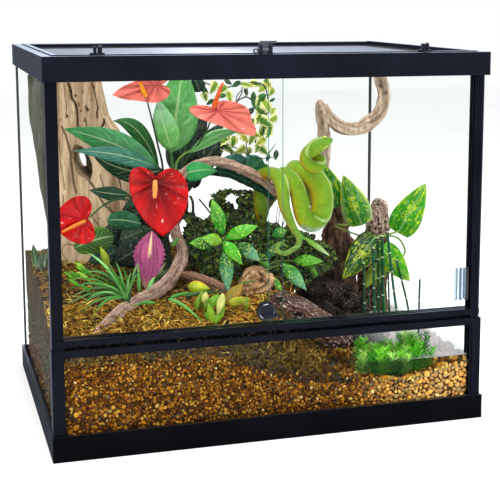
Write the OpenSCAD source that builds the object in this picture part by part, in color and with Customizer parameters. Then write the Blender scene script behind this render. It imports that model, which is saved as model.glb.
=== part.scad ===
// Front-opening glass reptile terrarium, furnished: glass box in plastic rims,
// sliding glass doors with a thumb-turn lock, hinged screen lid held by clips,
// and a planted land and pond interior. Millimetres, +Z up, front faces -Y.

/* [Enclosure] */
// Overall width of the rims
W = 610; // [600:1:640]
// Overall depth of the rims
D = 457; // [450:1:480]
// Height to the top of the upper rim
H = 525; // [515:1:560]
// Height of the lower rim
base_h = 34; // [30:1:36]
// Height of the upper rim
top_h = 32; // [30:1:36]
// Wall thickness of both rims
wall = 3.5; // [3:0.5:3.5]
// Width of the flat on top of the upper rim
rim_flat = 12.5; // [11.5:0.5:13]

/* [Glass] */
// Thickness of the fixed panes
glass_t = 5; // [4:0.5:5]
// Thickness of the floor pane
floor_t = 6; // [5:0.5:6]
// Thickness of the sliding doors
door_t = 4; // [3:0.5:4]
// How far the closed doors overlap
door_overlap = 22; // [16:1:40]
// Top of the fixed front pane
kick_z = 152.5; // [150:0.5:155]

/* [Corner posts] */
// Width of each front post
post_w = 15; // [13:0.5:16]
// Depth of each front post
post_d = 18; // [17.5:0.5:20]
// Setback of the posts behind the rim front
post_set = 7; // [6:0.5:8]

/* [Screen lid] */
// Width of the lid frame members
lid_w = 7; // [6:0.5:8]
// Radius of the hinge pins
pin_r = 2; // [1.5:0.1:2.2]
// Radius of the clip studs
stud_r = 1.6; // [1.4:0.1:1.8]
// Running clearance of pins and studs
run_c = 0.05; // [0.02:0.01:0.1]

/* [Hardware] */
// Radius of the door lock housing
lock_r = 13.5; // [12:0.5:14]
// Height of the lock centre
lock_z = 180; // [176:1:200]
// Distance of the side clips from the centre line
clip_x = 232; // [200:1:260]

/* [Furnishing] */
// Level of the pond
water_z = 92; // [89:1:94]
// Thickest body radius of the snake
snake_r = 14.5; // [12:0.5:15]
// Radius of the climbing branch
branch_r = 8; // [6:0.5:9]

/* [Hidden] */
$fn = 48;
hw = W/2; hd = D/2;
iw = hw - wall; id = hd - wall;          // inside faces of the rims
gx = iw - 0.5 - glass_t; gy = id - 0.5 - glass_t; // inner faces of the side and back glass
fx = hw - rim_flat; fy = hd - rim_flat;  // lid pocket
zt = H - top_h;                          // underside of the upper rim
zl = H - 17;                             // underside of the lid ledge
shelf = 15;
fz = shelf + floor_t;                    // top of the floor pane
pf = -hd + post_set;                     // front face of posts
px = iw - post_w;                        // inner face of posts
pr = pf + post_d;                        // rear face of posts
g1 = pf + 1.5; g2 = g1 + 5;              // front groove
g3 = g2 + 2.5; g4 = g3 + 5;              // rear groove
d1 = g1 + 0.5; d2 = d1 + door_t;         // front door faces
e1 = g3 + 0.5; e2 = e1 + door_t;         // rear door faces
track_f = kick_z + 3;                    // track floor
track_t = kick_z + 8.5;                  // top of the track fins
dz0 = track_f + 2; dz1 = H - 24;         // door bottom and top
door_in = door_overlap/2;
door_out = px + 5;
lx = -door_in - 5;                       // lock centre
lid_x = fx - 1; lid_y = fy - 1; lid_top = H + 1.4; lid_bot = H - 14;
hinge_y = fy - 6; hinge_z = H - 4.6;
mesh_z = H - 8;
bead = 3.5;                              // silicone at the ends of the back pane
clip_y = -hd + 6; clip_rx = clip_x - 20;
hasp_x = -16.8;
black = [0.09,0.09,0.12]; glassc = [0.75,0.9,0.9,0.35]; wood = [0.72,0.58,0.42];

// ---------- helpers ----------
module bx(x0,x1,y0,y1,z0,z1) translate([x0,y0,z0]) cube([x1-x0,y1-y0,z1-z0]);
module ring(x,y,t,z0,z1) difference() {
  bx(-x,x,-y,y,z0,z1);
  bx(-x+t,x-t,-y+t,y-t,z0-1,z1+1);
}
module xcyl(x0,x1,y,z,r) translate([x0,y,z]) rotate([0,90,0]) cylinder(r=r,h=x1-x0);
module ycyl(x,y0,y1,z,r) translate([x,y1,z]) rotate([90,0,0]) cylinder(r=r,h=y1-y0);
// outline in X and Z pushed along Y
module slab_xz(pts,y0,y1) translate([0,y1,0]) rotate([90,0,0]) linear_extrude(y1-y0) polygon(pts);
// outline in Y and Z pushed along X
module slab_yz(pts,x0,x1) translate([x0,0,0]) rotate([90,0,90]) linear_extrude(x1-x0) polygon(pts);

// smooth route through hand-set points [x,y,z,r]
function cr(a,b,c,d,t) = 0.5*((2*b)+(c-a)*t+(2*a-5*b+4*c-d)*t*t+(3*b-a-3*c+d)*t*t*t);
function smooth(p,k) = [for (i=[0:len(p)-2], j=[0:k-1])
   cr(p[max(i-1,0)],p[i],p[i+1],p[min(i+2,len(p)-1)],j/k), p[len(p)-1]];
function xyz(v) = [v[0],v[1],v[2]];
function unit(v) = v/norm(v);
function tang(p,i) = unit(xyz(p[min(i+1,len(p)-1)])-xyz(p[max(i-1,0)]));
function ringpts(p,i,n) = let(t=tang(p,i), a=unit(cross(t,[0.05,1,0.03])), b=cross(t,a))
   [for (k=[0:n-1]) xyz(p[i])+p[i][3]*(cos(360*k/n)*a+sin(360*k/n)*b)];
module sweep(p,n) {
  m = len(p);
  polyhedron(points=[for (i=[0:m-1]) each ringpts(p,i,n)],
    faces=concat([for (k=[1:n-2]) [0,k,k+1]],
      [for (i=[0:m-2], k=[0:n-1]) each [[i*n+k, (i+1)*n+k, (i+1)*n+(k+1)%n], [i*n+k, (i+1)*n+(k+1)%n, i*n+(k+1)%n]]],
      [for (k=[1:n-2]) [(m-1)*n, (m-1)*n+k+1, (m-1)*n+k]]));
}
// flat leaf with a pointed tip, length along local +X, lying in the plane of X and Y
module leaf(l,w,t) linear_extrude(t) polygon([for (i=[0:6]) [l*i/6, w/2*sin(180*pow(i/6,0.8))*0.98+0.4],
   for (i=[6:-1:0]) [l*i/6, -w/2*sin(180*pow(i/6,0.8))*0.98-0.4]]);
// leaf at a point: az turns it about Z, el lifts the tip, roll turns the blade
module leaf_at(p,az,el,roll,l,w,t=1.6) translate(p) rotate([0,0,az]) rotate([0,-el,0]) rotate([roll,0,0])
   translate([0,0,-t/2]) leaf(l,w,t);

// ---------- rims ----------
module base_frame() color(black) {
  ring(hw,hd,wall,0,base_h);
  difference() { bx(-iw,iw,-id,id,shelf-3,shelf); bx(-iw+17.5,iw-17.5,-id+17.5,id-17.5,0,shelf+1); }
  bx(-iw,iw,-id,pf,base_h-10,base_h);
}
module top_frame() color(black) difference() {
  union() {
    ring(hw,hd,wall,zt,H);
    difference() { bx(-hw,hw,-hd,hd,H-3,H); bx(-fx,fx,-fy,fy,zl,H+1); }
    difference() { bx(-fx-3,fx+3,-fy-3,fy+3,zl,H); bx(-fx,fx,-fy,fy,zl-1,H+1); }
    difference() { bx(-fx-1,fx+1,-fy-1,fy+1,zl,zl+3); bx(-fx+9.5,fx-9.5,-fy+9.5,fy-9.5,zl-1,H); }
    bx(-iw,iw,-id,pf,zt,zl);
  }
  for (s=[-1,1]) xcyl(s>0 ? fx-1 : -fx-3.1, s>0 ? fx+3.1 : -fx+1, hinge_y, hinge_z, pin_r+run_c);
}

// ---------- glass ----------
module floor_glass() color(glassc) bx(-gx,gx,g2,gy,shelf,fz);
module back_glass() color(glassc) bx(-gx-glass_t+bead,gx+glass_t-bead,gy,gy+glass_t,shelf,H-3);
module left_glass() color(glassc) bx(-gx-glass_t,-gx,pr,gy,shelf,H-3);
module right_glass() color(glassc) bx(gx,gx+glass_t,pr,gy,shelf,H-3);
module kick_glass() color(glassc) difference() {
  bx(-px-6,px+6,g1,g2,shelf,kick_z);
  for (s=[-1,1]) bx(s>0?px:-px-7, s>0?px+7:-px, g1-1,g2+1,shelf-1,fz);
}
module door_right_glass() color(glassc) bx(-door_in,door_out,d1,d2,dz0,dz1);
module door_left_glass() color(glassc) bx(-door_out,door_in,e1,e2,dz0,dz1);
module glides(x0,x1,y0,y1) color([0.85,0.85,0.82]) for (x=[x0+30,x1-54])
  bx(x,x+24,y0,y1,track_f+0.2,dz0);
module door_right_glides() glides(-door_in,door_out,d1,d2);
module door_left_glides() glides(-door_out,door_in,e1,e2);

// ---------- posts, trim and tracks ----------
module post_outline() polygon([[px,pf],[iw-3,pf],[iw,pf+3],[iw,pr],[px,pr],[px,g4],[px+6,g4],[px+6,g3],
  [px,g3],[px,g2],[px+6,g2],[px+6,g1],[px,g1]]);
module right_corner_post() color(black) translate([0,0,fz]) linear_extrude(zl-fz) post_outline();
module left_corner_post() color(black) mirror([1,0,0]) translate([0,0,fz]) linear_extrude(zl-fz) post_outline();
module kick_trim() color(black) {
  for (s=[0,1]) mirror([s,0,0]) {
    bx(px+3.5,iw+1.5,pf-1.5,pf,base_h,147);
    bx(iw,iw+1.5,pf,pr,base_h,147);
  }
  bx(-px-3.5,px+3.5,pf-1.5,pf,137,147);
  bx(-px,px,pf,g1,137,147);
}
module lower_door_track() color(black) {
  bx(-px,px,g1,pr,kick_z,track_f);
  bx(-px-13.5,px+13.5,pf-1.5,pf,kick_z,track_t);
  bx(-px,px,pf,g1,kick_z,track_t);
  bx(-px,px,g2,g3,track_f,track_t);
  bx(-px,px,g4,pr,track_f,track_t);
  bx(-px,px,g2,g3,kick_z-9.5,kick_z);
}
module upper_door_track() color(black) {
  bx(-px,px,pf,pr,zl-2,zl);
  bx(-px,px,pf,g1,zt,zl-2);
  bx(-px,px,g2,g3,zt,zl-2);
  bx(-px,px,g4,pr,zt,zl-2);
}
module rear_corner_seals() color([0.03,0.03,0.04]) for (s=[0,1]) mirror([s,0,0])
  bx(gx+glass_t-bead,gx+glass_t,gy,gy+glass_t,shelf,H-3);

// ---------- door pull and lock ----------
module door_pull() color([0.8,0.88,0.92,0.5]) {
  bx(262,281.6,d1-1.4,d1,176,220);
  for (r=[[263.2,1.2],[272,1.6],[279.6,2]]) translate([r[0],d1-1.4,0]) intersection() {
    translate([0,0,174.5]) cylinder(r=r[1]*1.6,h=47);
    bx(-4,4,-5,0.2,174,222);
  }
}
module lock_body() color(black) difference() {
  union() {
    ycyl(lx,d1-5.5,d1,lock_z,lock_r);
    ycyl(lx,d1-6.5,d1-5.5,lock_z,lock_r-1);
    ycyl(lx,d1,d2+0.5,lock_z,3.2);
  }
  ycyl(lx,d1-8,d1-3.5,lock_z,9.6);
  ycyl(lx,d1-8,d2+1,lock_z,2+run_c);
}
module lock_bracket() color([0.3,0.3,0.33]) {
  bx(-door_in-1.8,-door_in,d1,d2+1.5,lock_z-7,lock_z+7);
  bx(-door_in,-door_in+6.5,d2,d2+1.5,lock_z-7,lock_z+7);
}
module lock_lever() color([0.16,0.16,0.2]) {
  ycyl(lx,d1-7,d1-3.6,lock_z,9.55);
  hull() {
    ycyl(lx-2,d1-8.9,d1-7,lock_z-5.4,3);
    ycyl(lx+15,d1-8.9,d1-7,lock_z-5.4,2.4);
  }
}
module lock_plunger() color("silver") ycyl(lx,d1-3.4,d2+0.9,lock_z,2);
module lock_pad() color([0.2,0.2,0.2]) ycyl(lx,d2+0.9,d2+2.1,lock_z,3);

// ---------- screen lid ----------
module lid_frame() color(black) difference() {
  union() {
    ring(lid_x,lid_y,lid_w,lid_bot,lid_top);
    difference() {
      bx(-lid_x+1,lid_x-1,-lid_y+1,lid_y-1,mesh_z-3.5,mesh_z);
      bx(-lid_x+12,lid_x-12,-lid_y+12,lid_y-12,lid_bot,lid_top);
    }
  }
  bx(-lid_x-1,lid_x+1,hinge_y-9,lid_y+1,hinge_z+4.2,lid_top+1);
  difference() {
    bx(-lid_x-1,lid_x+1,hinge_y,lid_y+1,hinge_z,lid_top+1);
    xcyl(-lid_x-2,lid_x+2,hinge_y,hinge_z,5);
  }
  difference() {
    bx(-lid_x-1,lid_x+1,hinge_y,lid_y+1,lid_bot-1,hinge_z);
    xcyl(-lid_x-2,lid_x+2,hinge_y,hinge_z,9.3);
  }
  for (s=[-1,1]) xcyl(s>0?lid_x-5.5:-lid_x-1, s>0?lid_x+1:-lid_x+5.5, hinge_y,hinge_z,pin_r);
}
module lid_mesh() color([0.35,0.37,0.4]) bx(-lid_x+lid_w,lid_x-lid_w,-lid_y+lid_w,lid_y-lid_w,mesh_z,mesh_z+0.8);
module lid_spline() color([0.05,0.05,0.05]) ring(lid_x-lid_w,lid_y-lid_w,4,mesh_z+0.8,mesh_z+2.8);
module lid_hinge_pins() color("silver") for (s=[-1,1])
  xcyl(s>0?lid_x-5.5:-fx-2.9, s>0?fx+2.9:-lid_x+5.5, hinge_y,hinge_z,pin_r);

// ---------- lid clips and hasp ----------
module stud(x) translate([x,clip_y,H]) {
  cylinder(r=3.6,h=1.2);
  cylinder(r=stud_r,h=13);
  translate([0,0,11.4]) cylinder(r=2.5,h=1.6);
}
module clip_studs() color([0.5,0.5,0.53]) { stud(-clip_x); stud(clip_rx); }
module swivel(x) color([0.06,0.06,0.08]) translate([x,clip_y,H+1.5]) difference() {
  union() {
    cylinder(r=3,h=9.6);
    translate([-10,-3,0]) cube([13,6,2.2]);
    translate([3,0,0]) cylinder(r=3,h=2.2);
    translate([-10,0,0]) cylinder(r=3,h=2.2);
    translate([-8.2,-2.6,1]) cube([3.8,5.2,9.4]);
  }
  translate([0,0,-1]) cylinder(r=stud_r+run_c,h=12);
}
module clip_left() swivel(-clip_x);
module clip_right() swivel(clip_rx);
module hasp_bracket() color([0.07,0.07,0.09]) difference() {
  union() {
    bx(hasp_x-9,hasp_x+9,clip_y-5,clip_y+5,H,H+1);
    for (s=[-1,1]) {
      bx(hasp_x+s*6.8-2,hasp_x+s*6.8+2,clip_y-4.5,clip_y+4.5,H,H+9);
      xcyl(hasp_x+s*6.8-2,hasp_x+s*6.8+2,clip_y,H+9,4.5);
    }
  }
  xcyl(hasp_x-12,hasp_x+12,clip_y,H+4.6,1.5);
}
module hasp_pin() color("silver") xcyl(hasp_x-8.7,hasp_x+8.7,clip_y,H+4.6,1.5);
module hasp_loop() color([0.1,0.1,0.1]) translate([hasp_x-12.75,clip_y,H+3.9]) rotate([90,0,0])
  rotate_extrude() translate([2.7,0]) circle(r=1.2,$fn=24);
module hasp_lever() color([0.45,0.46,0.5]) difference() {
  union() {
    xcyl(hasp_x-4.5,hasp_x+4.5,clip_y,H+4.6,3.2);
    bx(hasp_x-4.5,hasp_x+4.5,clip_y-1.5,clip_y+1.5,H+4.6,H+17);
    bx(hasp_x-4.5,hasp_x+4.5,clip_y+1,clip_y+2.7,H+11,H+14);
    bx(hasp_x-7,hasp_x+15,clip_y-1.5,clip_y+1.5,H+14,H+17);
  }
  xcyl(hasp_x-12,hasp_x+12,clip_y,H+4.6,1.5+run_c);
}

// ---------- ground ----------
bed = [[-gx+0.2,130],[-205,133],[-133,122],[-83,125],[-37,110],[-8,100],[62,85],[93,76],[183,65.5],[230,70],[gx-0.2,87]];
module inside(z0,z1) translate([0,0,z0]) linear_extrude(z1-z0) polygon([[-gx+0.2,pr+0.2],[-px+0.2,pr+0.2],
  [-px+0.2,g2],[px-0.2,g2],[px-0.2,pr+0.2],[gx-0.2,pr+0.2],[gx-0.2,gy-4.7],[gx-4.7,gy-0.2],
  [-gx+4.7,gy-0.2],[-gx+0.2,gy-4.7]]);
module gravel_bed() color([0.72,0.48,0.24]) intersection() {
  slab_xz(concat([[-gx+0.2,fz]],bed,[[gx-0.2,fz]]),-hd,hd);
  inside(fz,140);
}
module moss_mound() color([0.45,0.36,0.16]) intersection() {
  slab_xz(concat([for (i=[0:7]) bed[i]],[[93,100],[78,150],[30,215],[-gx+0.2,215]]),-hd,hd);
  slab_yz([[g2,60],[g2,138],[pr+0.2,146],[-120,158],[-40,172],[60,186],[gy-0.2,192],[gy-0.2,60]],-gx,gx);
  inside(fz,215);
}
module pond_water() color([0.6,0.68,0.6,0.5]) intersection() {
  slab_xz([bed[7],bed[8],bed[9],bed[10],[gx-0.2,water_z],[93,water_z]],-hd,hd);
  inside(fz,140);
}

// ---------- wood and stone ----------
module driftwood_slab() color(wood) translate([-277,190,0]) rotate([0,0,-26])
  slab_xz([[0,478],[14,490],[112,490],[127,418],[142,398],[165,347],[182,227],[176,182],[36,182],[14,311],[2,407]],-40,0);
module climbing_branch() color([0.7,0.55,0.45]) sweep(smooth([[-236,-165,156,8],[-205,-125,163,9],[-160,-80,170,9],
  [-122,-45,180,9],[-92,-20,198,8.5],[-82,-8,222,8],[-92,0,250,branch_r],[-96,4,285,branch_r-1],
  [-86,4,328,branch_r-1],[-66,4,348,branch_r-1],[-32,2,356,branch_r-1],[6,0,345,branch_r-1],
  [40,-2,326,branch_r-1.5],[64,-4,304,branch_r-2]],2),10);
module forked_branch() color([0.62,0.5,0.4]) union() {
  sweep(smooth([[190,60,72,22],[187,60,140,22],[184,58,210,20],[185,56,240,17],[179,54,264,13],
    [168,52,288,10],[159,50,314,9.5],[155,48,340,9.5],[155,46,390,9.5],[150,44,426,8],[147,44,442,4]],2),10);
  sweep(smooth([[152,45,430,7],[164,42,411,8.5],[178,40,399,9.5],[194,40,394,9.5],[214,40,395,10],[232,40,405,10],
    [245,40,418,10],[251,40,434,9.5],[252,40,450,9.5],[248,40,470,9],[241,40,497,8.5]],2),10);
}
module driftwood_chunk() color([0.75,0.6,0.42]) translate([-4,-54,162]) rotate([0,-14,0])
  slab_xz([[-8,6],[2,-4],[42,-2],[52,10],[45,27],[26,35],[2,28]],-17,17);
module cork_bark() color([0.55,0.42,0.36]) translate([252,66,0]) rotate([0,0,-18])
  slab_xz([[-32,64],[25,64],[22,140],[24,190],[24,250],[20,268],[8,276],[-9,268],[-15,250],[-21,214],[-27,190],[-29,140]],-9,9);
module bark_slab() color([0.42,0.27,0.2]) translate([66,-104,148]) rotate([0,0,-31]) rotate([0,28,0])
  slab_xz([[-44,-6],[-30,-12],[30,-12],[60,-12],[70,0],[58,9],[20,11],[-30,9],[-44,2]],-27,27);
module dark_rock() color([0.2,0.19,0.2]) slab_xz([[100,76],[150,69],[218,69],[216,86],[208,98],[206,128],[198,144],[180,156],[148,164],[114,158],[100,120]],-22,34);

// ---------- plants: stems and leaf blades set by rule ----------
module anthurium() color([0.75,0.25,0.2]) {
  cylinder_at([-104,44,170],9,26);
  for (f=[[-148,-6,452],[-50,-30,450],[-136,-62,346],[-236,-96,322]])
    sweep([[-104,44,186,2.2],[(f[0]-104)/2-6,(f[1]+44)/2,(f[2]+230)/2,2],[f[0],f[1],f[2],1.8]],8);
  leaf_at([-120,-8,456],160,10,80,58,26);
  leaf_at([-50,-32,452],-80,-50,70,66,70);
  leaf_at([-138,-64,352],-80,-60,65,80,70);
  leaf_at([-236,-98,330],-70,-55,60,62,60);
  for (i=[0:5]) leaf_at([-104,44,196],150+i*42,52+8*(i%3),30,120+20*(i%2),46);
}
module cylinder_at(p,r,h) translate(p) cylinder(r=r,h=h,$fn=24);
module pothos() color([0.5,0.75,0.2]) {
  for (l=[[168,22,300,-40],[208,18,300,-75],[250,12,276,-70],[214,16,232,-80],[256,10,210,-55]])
    leaf_at([l[0],l[1],l[2]],-90,l[3],0,72,42);
  sweep(smooth([[214,30,100,2.5],[226,22,170,2.5],[236,18,230,2.5],[226,18,285,2.5],[196,22,312,2.5],[170,22,304,2]],2),8);
}
module gold_dust_plant() color([0.35,0.6,0.15]) {
  sweep([[-40,-70,158,3],[-44,-78,210,3],[-46,-82,256,3]],8);
  for (i=[0:8]) leaf_at([-46,-82,250-10*(i%3)],i*40-150,20-35*(i%3),20,62,28);
}
module ivy_vine() color([0.5,0.6,0.25]) {
  sweep(smooth([[-176,130,496,1.8],[-110,96,500,1.8],[-60,60,498,1.8],[-18,36,488,1.8],[8,22,456,1.8],[-8,14,424,1.8],[-34,10,392,1.8]],3),8);
  for (i=[0:6]) leaf_at([-70+i*12,40-4*i,478-14*(i%4)],40*i,-40,20,26,20,1.2);
}
module grass_tuft() color([0.35,0.6,0.15]) {
  cylinder_at([-190,-140,150],7,14);
  for (i=[0:13]) leaf_at([-190,-140,162],i*25.7,20+20*(i%3),0,70,5,1.2);
}
module bromeliad() color([0.75,0.4,0.5]) {
  cylinder_at([-144,-112,154],6,12);
  for (i=[0:4]) leaf_at([-144,-112,164],100+i*72,68-8*(i%2),0,i==0?110:60,i==0?30:16,1.6);
}
module pitcher_plants() color([0.6,0.65,0.15]) for (p=[[-96,-110,158,26],[-66,-126,155,20],[-30,-118,156,24],[-8,-130,152,18]])
  translate([p[0],p[1],p[2]]) cylinder(r1=3,r2=7,h=p[3],$fn=24);
module ground_shrub() color([0.12,0.3,0.15]) {
  sweep([[-30,60,180,5],[-34,60,230,4],[-30,58,290,3]],8);
  for (i=[0:14]) leaf_at([-32,59,200+6*i],i*137.5,25,15,58-1.5*i,24);
}
module horsetail_reeds() color([0.1,0.35,0.2]) for (r=[[198,-30,190],[212,-34,213],[219,-31,226],[226,-38,232],[241,-40,236],[264,-30,188],[264,-92,174]])
  translate([r[0],r[1],70]) cylinder(r=2.4,h=r[2]-70,$fn=16);
module pond_plants() color([0.4,0.8,0.2]) for (p=[[150,-150,70,26,44],[206,-140,68,30,46]])
  translate([p[0],p[1],p[2]]) cylinder(r1=p[3]*0.45,r2=p[3],h=p[4],$fn=20);

// ---------- animal ----------
module snake() color([0.55,0.75,0.2]) sweep([for (q=[
  [118,-100,395,0.2],[109,-99,392,0.5],[96,-97,387,0.68],[86,-95,379,0.52],[80,-94,369,0.47],[84,-95,360,0.48],[93,-97,355,0.5],
  [102,-96,358,0.49],[104,-90,365,0.48],[99,-82,369,0.48],[95,-70,369,0.5],[96,-56,365,0.53],[101,-40,352,0.56],[104,-31,330,0.62],
  [105,-26,306,0.68],[109,-10,293,0.7],[112,8,298,0.74],[108,14,314,0.78],[98,4,334,0.86],[88,-14,343,0.9],[86,-36,344,0.94],
  [89,-56,343,0.95],[98,-66,337,0.98],[108,-69,325,0.99],[114,-70,308,1],[115,-70,290,1],[110,-70,274,0.97],[100,-69,267,0.9],
  [90,-67,271,0.83],[85,-65,286,0.79],[80,-63,306,0.77],[76,-59,325,0.75],[70,-48,336,0.73],[67,-28,338,0.7],[67,-8,328,0.7],
  [70,8,313,0.7],[67,26,300,0.72],[58,34,286,0.72],[51,34,275,0.72],[47,28,265,0.72],[43,18,262,0.7],[40,6,272,0.7],
  [40,3,288,0.7],[41,10,304,0.7],[42,19,318,0.67],[42,16,331,0.65],[46,5,341,0.64],[50,-15,344,0.64],[53,-38,342,0.65],
  [54,-57,334,0.65],[54,-69,322,0.6],[55,-70,300,0.5],[61,-69,280,0.41],[70,-68,262,0.34],[78,-70,246,0.28],[74,-73,236,0.24],
  [62,-74,229,0.22],[51,-74,225,0.2],[44,-72,231,0.18],[47,-71,238,0.15],[56,-70,238,0.11],[60,-69,235,0.08]])
  [q[0],q[1],q[2],snake_r*q[3]]],10);

base_frame();
top_frame();
floor_glass();
back_glass();
left_glass();
right_glass();
kick_glass();
kick_trim();
lower_door_track();
upper_door_track();
left_corner_post();
right_corner_post();
rear_corner_seals();
door_left_glass();
door_left_glides();
door_right_glass();
door_right_glides();
door_pull();
lock_bracket();
lock_body();
lock_lever();
lock_plunger();
lock_pad();
lid_frame();
lid_mesh();
lid_spline();
lid_hinge_pins();
clip_studs();
clip_left();
clip_right();
hasp_bracket();
hasp_pin();
hasp_loop();
hasp_lever();
gravel_bed();
moss_mound();
pond_water();
driftwood_slab();
climbing_branch();
forked_branch();
driftwood_chunk();
cork_bark();
bark_slab();
dark_rock();
anthurium();
pothos();
gold_dust_plant();
ivy_vine();
grass_tuft();
bromeliad();
pitcher_plants();
ground_shrub();
horsetail_reeds();
pond_plants();
snake();
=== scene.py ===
import bpy, bmesh, math
import numpy as np
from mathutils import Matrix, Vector, noise


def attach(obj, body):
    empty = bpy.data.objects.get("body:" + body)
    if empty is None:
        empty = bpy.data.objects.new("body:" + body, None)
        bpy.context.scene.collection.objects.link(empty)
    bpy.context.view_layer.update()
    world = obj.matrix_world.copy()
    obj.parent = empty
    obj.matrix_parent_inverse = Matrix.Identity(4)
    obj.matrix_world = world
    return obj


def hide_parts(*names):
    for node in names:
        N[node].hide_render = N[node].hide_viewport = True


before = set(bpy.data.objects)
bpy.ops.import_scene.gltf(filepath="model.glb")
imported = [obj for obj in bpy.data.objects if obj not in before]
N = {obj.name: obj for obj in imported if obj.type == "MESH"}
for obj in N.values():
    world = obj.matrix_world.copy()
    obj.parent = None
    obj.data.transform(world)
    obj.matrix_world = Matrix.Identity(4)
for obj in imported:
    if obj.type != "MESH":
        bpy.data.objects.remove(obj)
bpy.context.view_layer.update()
scene = bpy.context.scene
MM = 0.001

# ------------------------------------------------------------------ camera
FOC, CX, CY = 1218.98, 300.0, 190.0
RM = np.array([[0.953427, -0.30161, 0.002777], [-0.043767, -0.147452, -0.9881], [0.298431, 0.94196, -0.153786]])
EYE = np.array([-456.06, -1760.46, 594.40])
cam_data = bpy.data.cameras.new("camera")
cam_data.sensor_width = 36.0
cam_data.lens = FOC * 36.0 / 500.0
cam_data.shift_x = (250.0 - CX) / 500.0
cam_data.shift_y = (CY - 250.0) / 500.0
cam_data.clip_start = 0.05
cam_data.clip_end = 30.0
cam = bpy.data.objects.new("camera", cam_data)
scene.collection.objects.link(cam)
from mathutils import Matrix
cols = [RM[0], -RM[1], -RM[2]]
m4 = Matrix.Identity(4)
for i in range(3):
    for j in range(3):
        m4[j][i] = cols[i][j]
    m4[i][3] = EYE[i] * MM
cam.matrix_world = m4
scene.camera = cam
scene.view_settings.view_transform = "Standard"


def ray(u, v):
    return RM.T @ np.array([(u - CX) / FOC, (v - CY) / FOC, 1.0])


def PY(u, v, y):
    """Point in mm seen at pixel (u, v) on the plane Y = y."""
    d = ray(u, v)
    return EYE + d * ((y - EYE[1]) / d[1])


def PZ(u, v, z):
    d = ray(u, v)
    return EYE + d * ((z - EYE[2]) / d[2])


def PX(u, v, x):
    d = ray(u, v)
    return EYE + d * ((x - EYE[0]) / d[0])


# ------------------------------------------------------------------ small helpers
def rng(seed):
    return np.random.default_rng(seed)


def nz(p, s=1.0, o=0.0):
    return noise.noise(Vector((p[0] * s + o, p[1] * s + o * 1.7, p[2] * s - o)))


def unit(v):
    v = np.asarray(v, float)
    return v / (np.linalg.norm(v) + 1e-12)


def cr(p, k):
    """Catmull-Rom through rows of p, k steps per span."""
    p = np.asarray(p, float)
    out = []
    n = len(p)
    for i in range(n - 1):
        a, b, c, d = p[max(i - 1, 0)], p[i], p[i + 1], p[min(i + 2, n - 1)]
        for j in range(k):
            t = j / k
            out.append(0.5 * (2 * b + (c - a) * t + (2 * a - 5 * b + 4 * c - d) * t * t + (3 * b - a - 3 * c + d) * t ** 3))
    out.append(p[-1])
    return np.array(out)


class Acc:
    """Collects vertices (mm), faces, uv and colour of one piece."""

    def __init__(self):
        self.v, self.f, self.uv, self.c, self.n = [], [], [], [], 0

    def add(self, verts, faces, uv=None, col=(1, 1, 1)):
        verts = np.asarray(verts, float)
        k = len(verts)
        self.v.append(verts)
        if isinstance(faces, np.ndarray):
            self.f.append(faces.astype(np.int64) + self.n)
        else:
            for m in sorted({len(f) for f in faces}):
                self.f.append(np.array([f for f in faces if len(f) == m], np.int64) + self.n)
        self.uv.append(np.zeros((k, 2)) if uv is None else np.asarray(uv, float))
        c = np.asarray(col, float)
        self.c.append(np.tile(c, (k, 1)) if c.ndim == 1 else c)
        self.n += k

    def build(self, name, mat, body="enclosure", replaces=(), slot=None, smooth=True):
        me = bpy.data.meshes.new(name)
        v = (np.concatenate(self.v) * MM).astype(np.float32)
        me.vertices.add(len(v))
        me.vertices.foreach_set("co", v.ravel())
        li = np.concatenate([f.ravel() for f in self.f]).astype(np.int32)
        sizes = np.concatenate([np.full(len(f), f.shape[1]) for f in self.f])
        me.loops.add(len(li))
        me.loops.foreach_set("vertex_index", li)
        me.polygons.add(len(sizes))
        me.polygons.foreach_set("loop_start", np.r_[0, np.cumsum(sizes)[:-1]].astype(np.int32))
        me.update(calc_edges=True)
        uvl = me.uv_layers.new(name="uv")
        uv = np.concatenate(self.uv)
        uvl.data.foreach_set("uv", uv[li].astype(np.float32).ravel())
        ca = me.color_attributes.new(name="col", type="FLOAT_COLOR", domain="POINT")
        c = np.concatenate(self.c)
        ca.data.foreach_set("color", np.c_[c, np.ones(len(c))].astype(np.float32).ravel())
        me.polygons.foreach_set("use_smooth", np.full(len(me.polygons), bool(smooth)))
        for m in mat if isinstance(mat, (list, tuple)) else [mat]:
            me.materials.append(m)
        me.update()
        ob = bpy.data.objects.new(name, me)
        scene.collection.objects.link(ob)
        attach(ob, body)
        if replaces:
            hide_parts(*replaces)
        return ob


def S(r, g, b):
    """Display colour 0-255 to linear."""
    return tuple(((c / 255 + 0.055) / 1.055) ** 2.4 if c > 10 else c / 255 / 12.92 for c in (r, g, b))


def frames(path):
    """Parallel-transport frames along a path."""
    p = np.asarray(path, float)
    t = np.gradient(p, axis=0)
    t /= np.linalg.norm(t, axis=1)[:, None] + 1e-12
    a = np.cross(t[0], [0.03, 1, 0.02])
    if np.linalg.norm(a) < 0.1:
        a = np.cross(t[0], [1, 0, 0])
    a = unit(a)
    A, B = [], []
    for i in range(len(p)):
        a = unit(a - t[i] * np.dot(a, t[i]))
        A.append(a)
        B.append(np.cross(t[i], a))
    return t, np.array(A), np.array(B)


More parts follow.
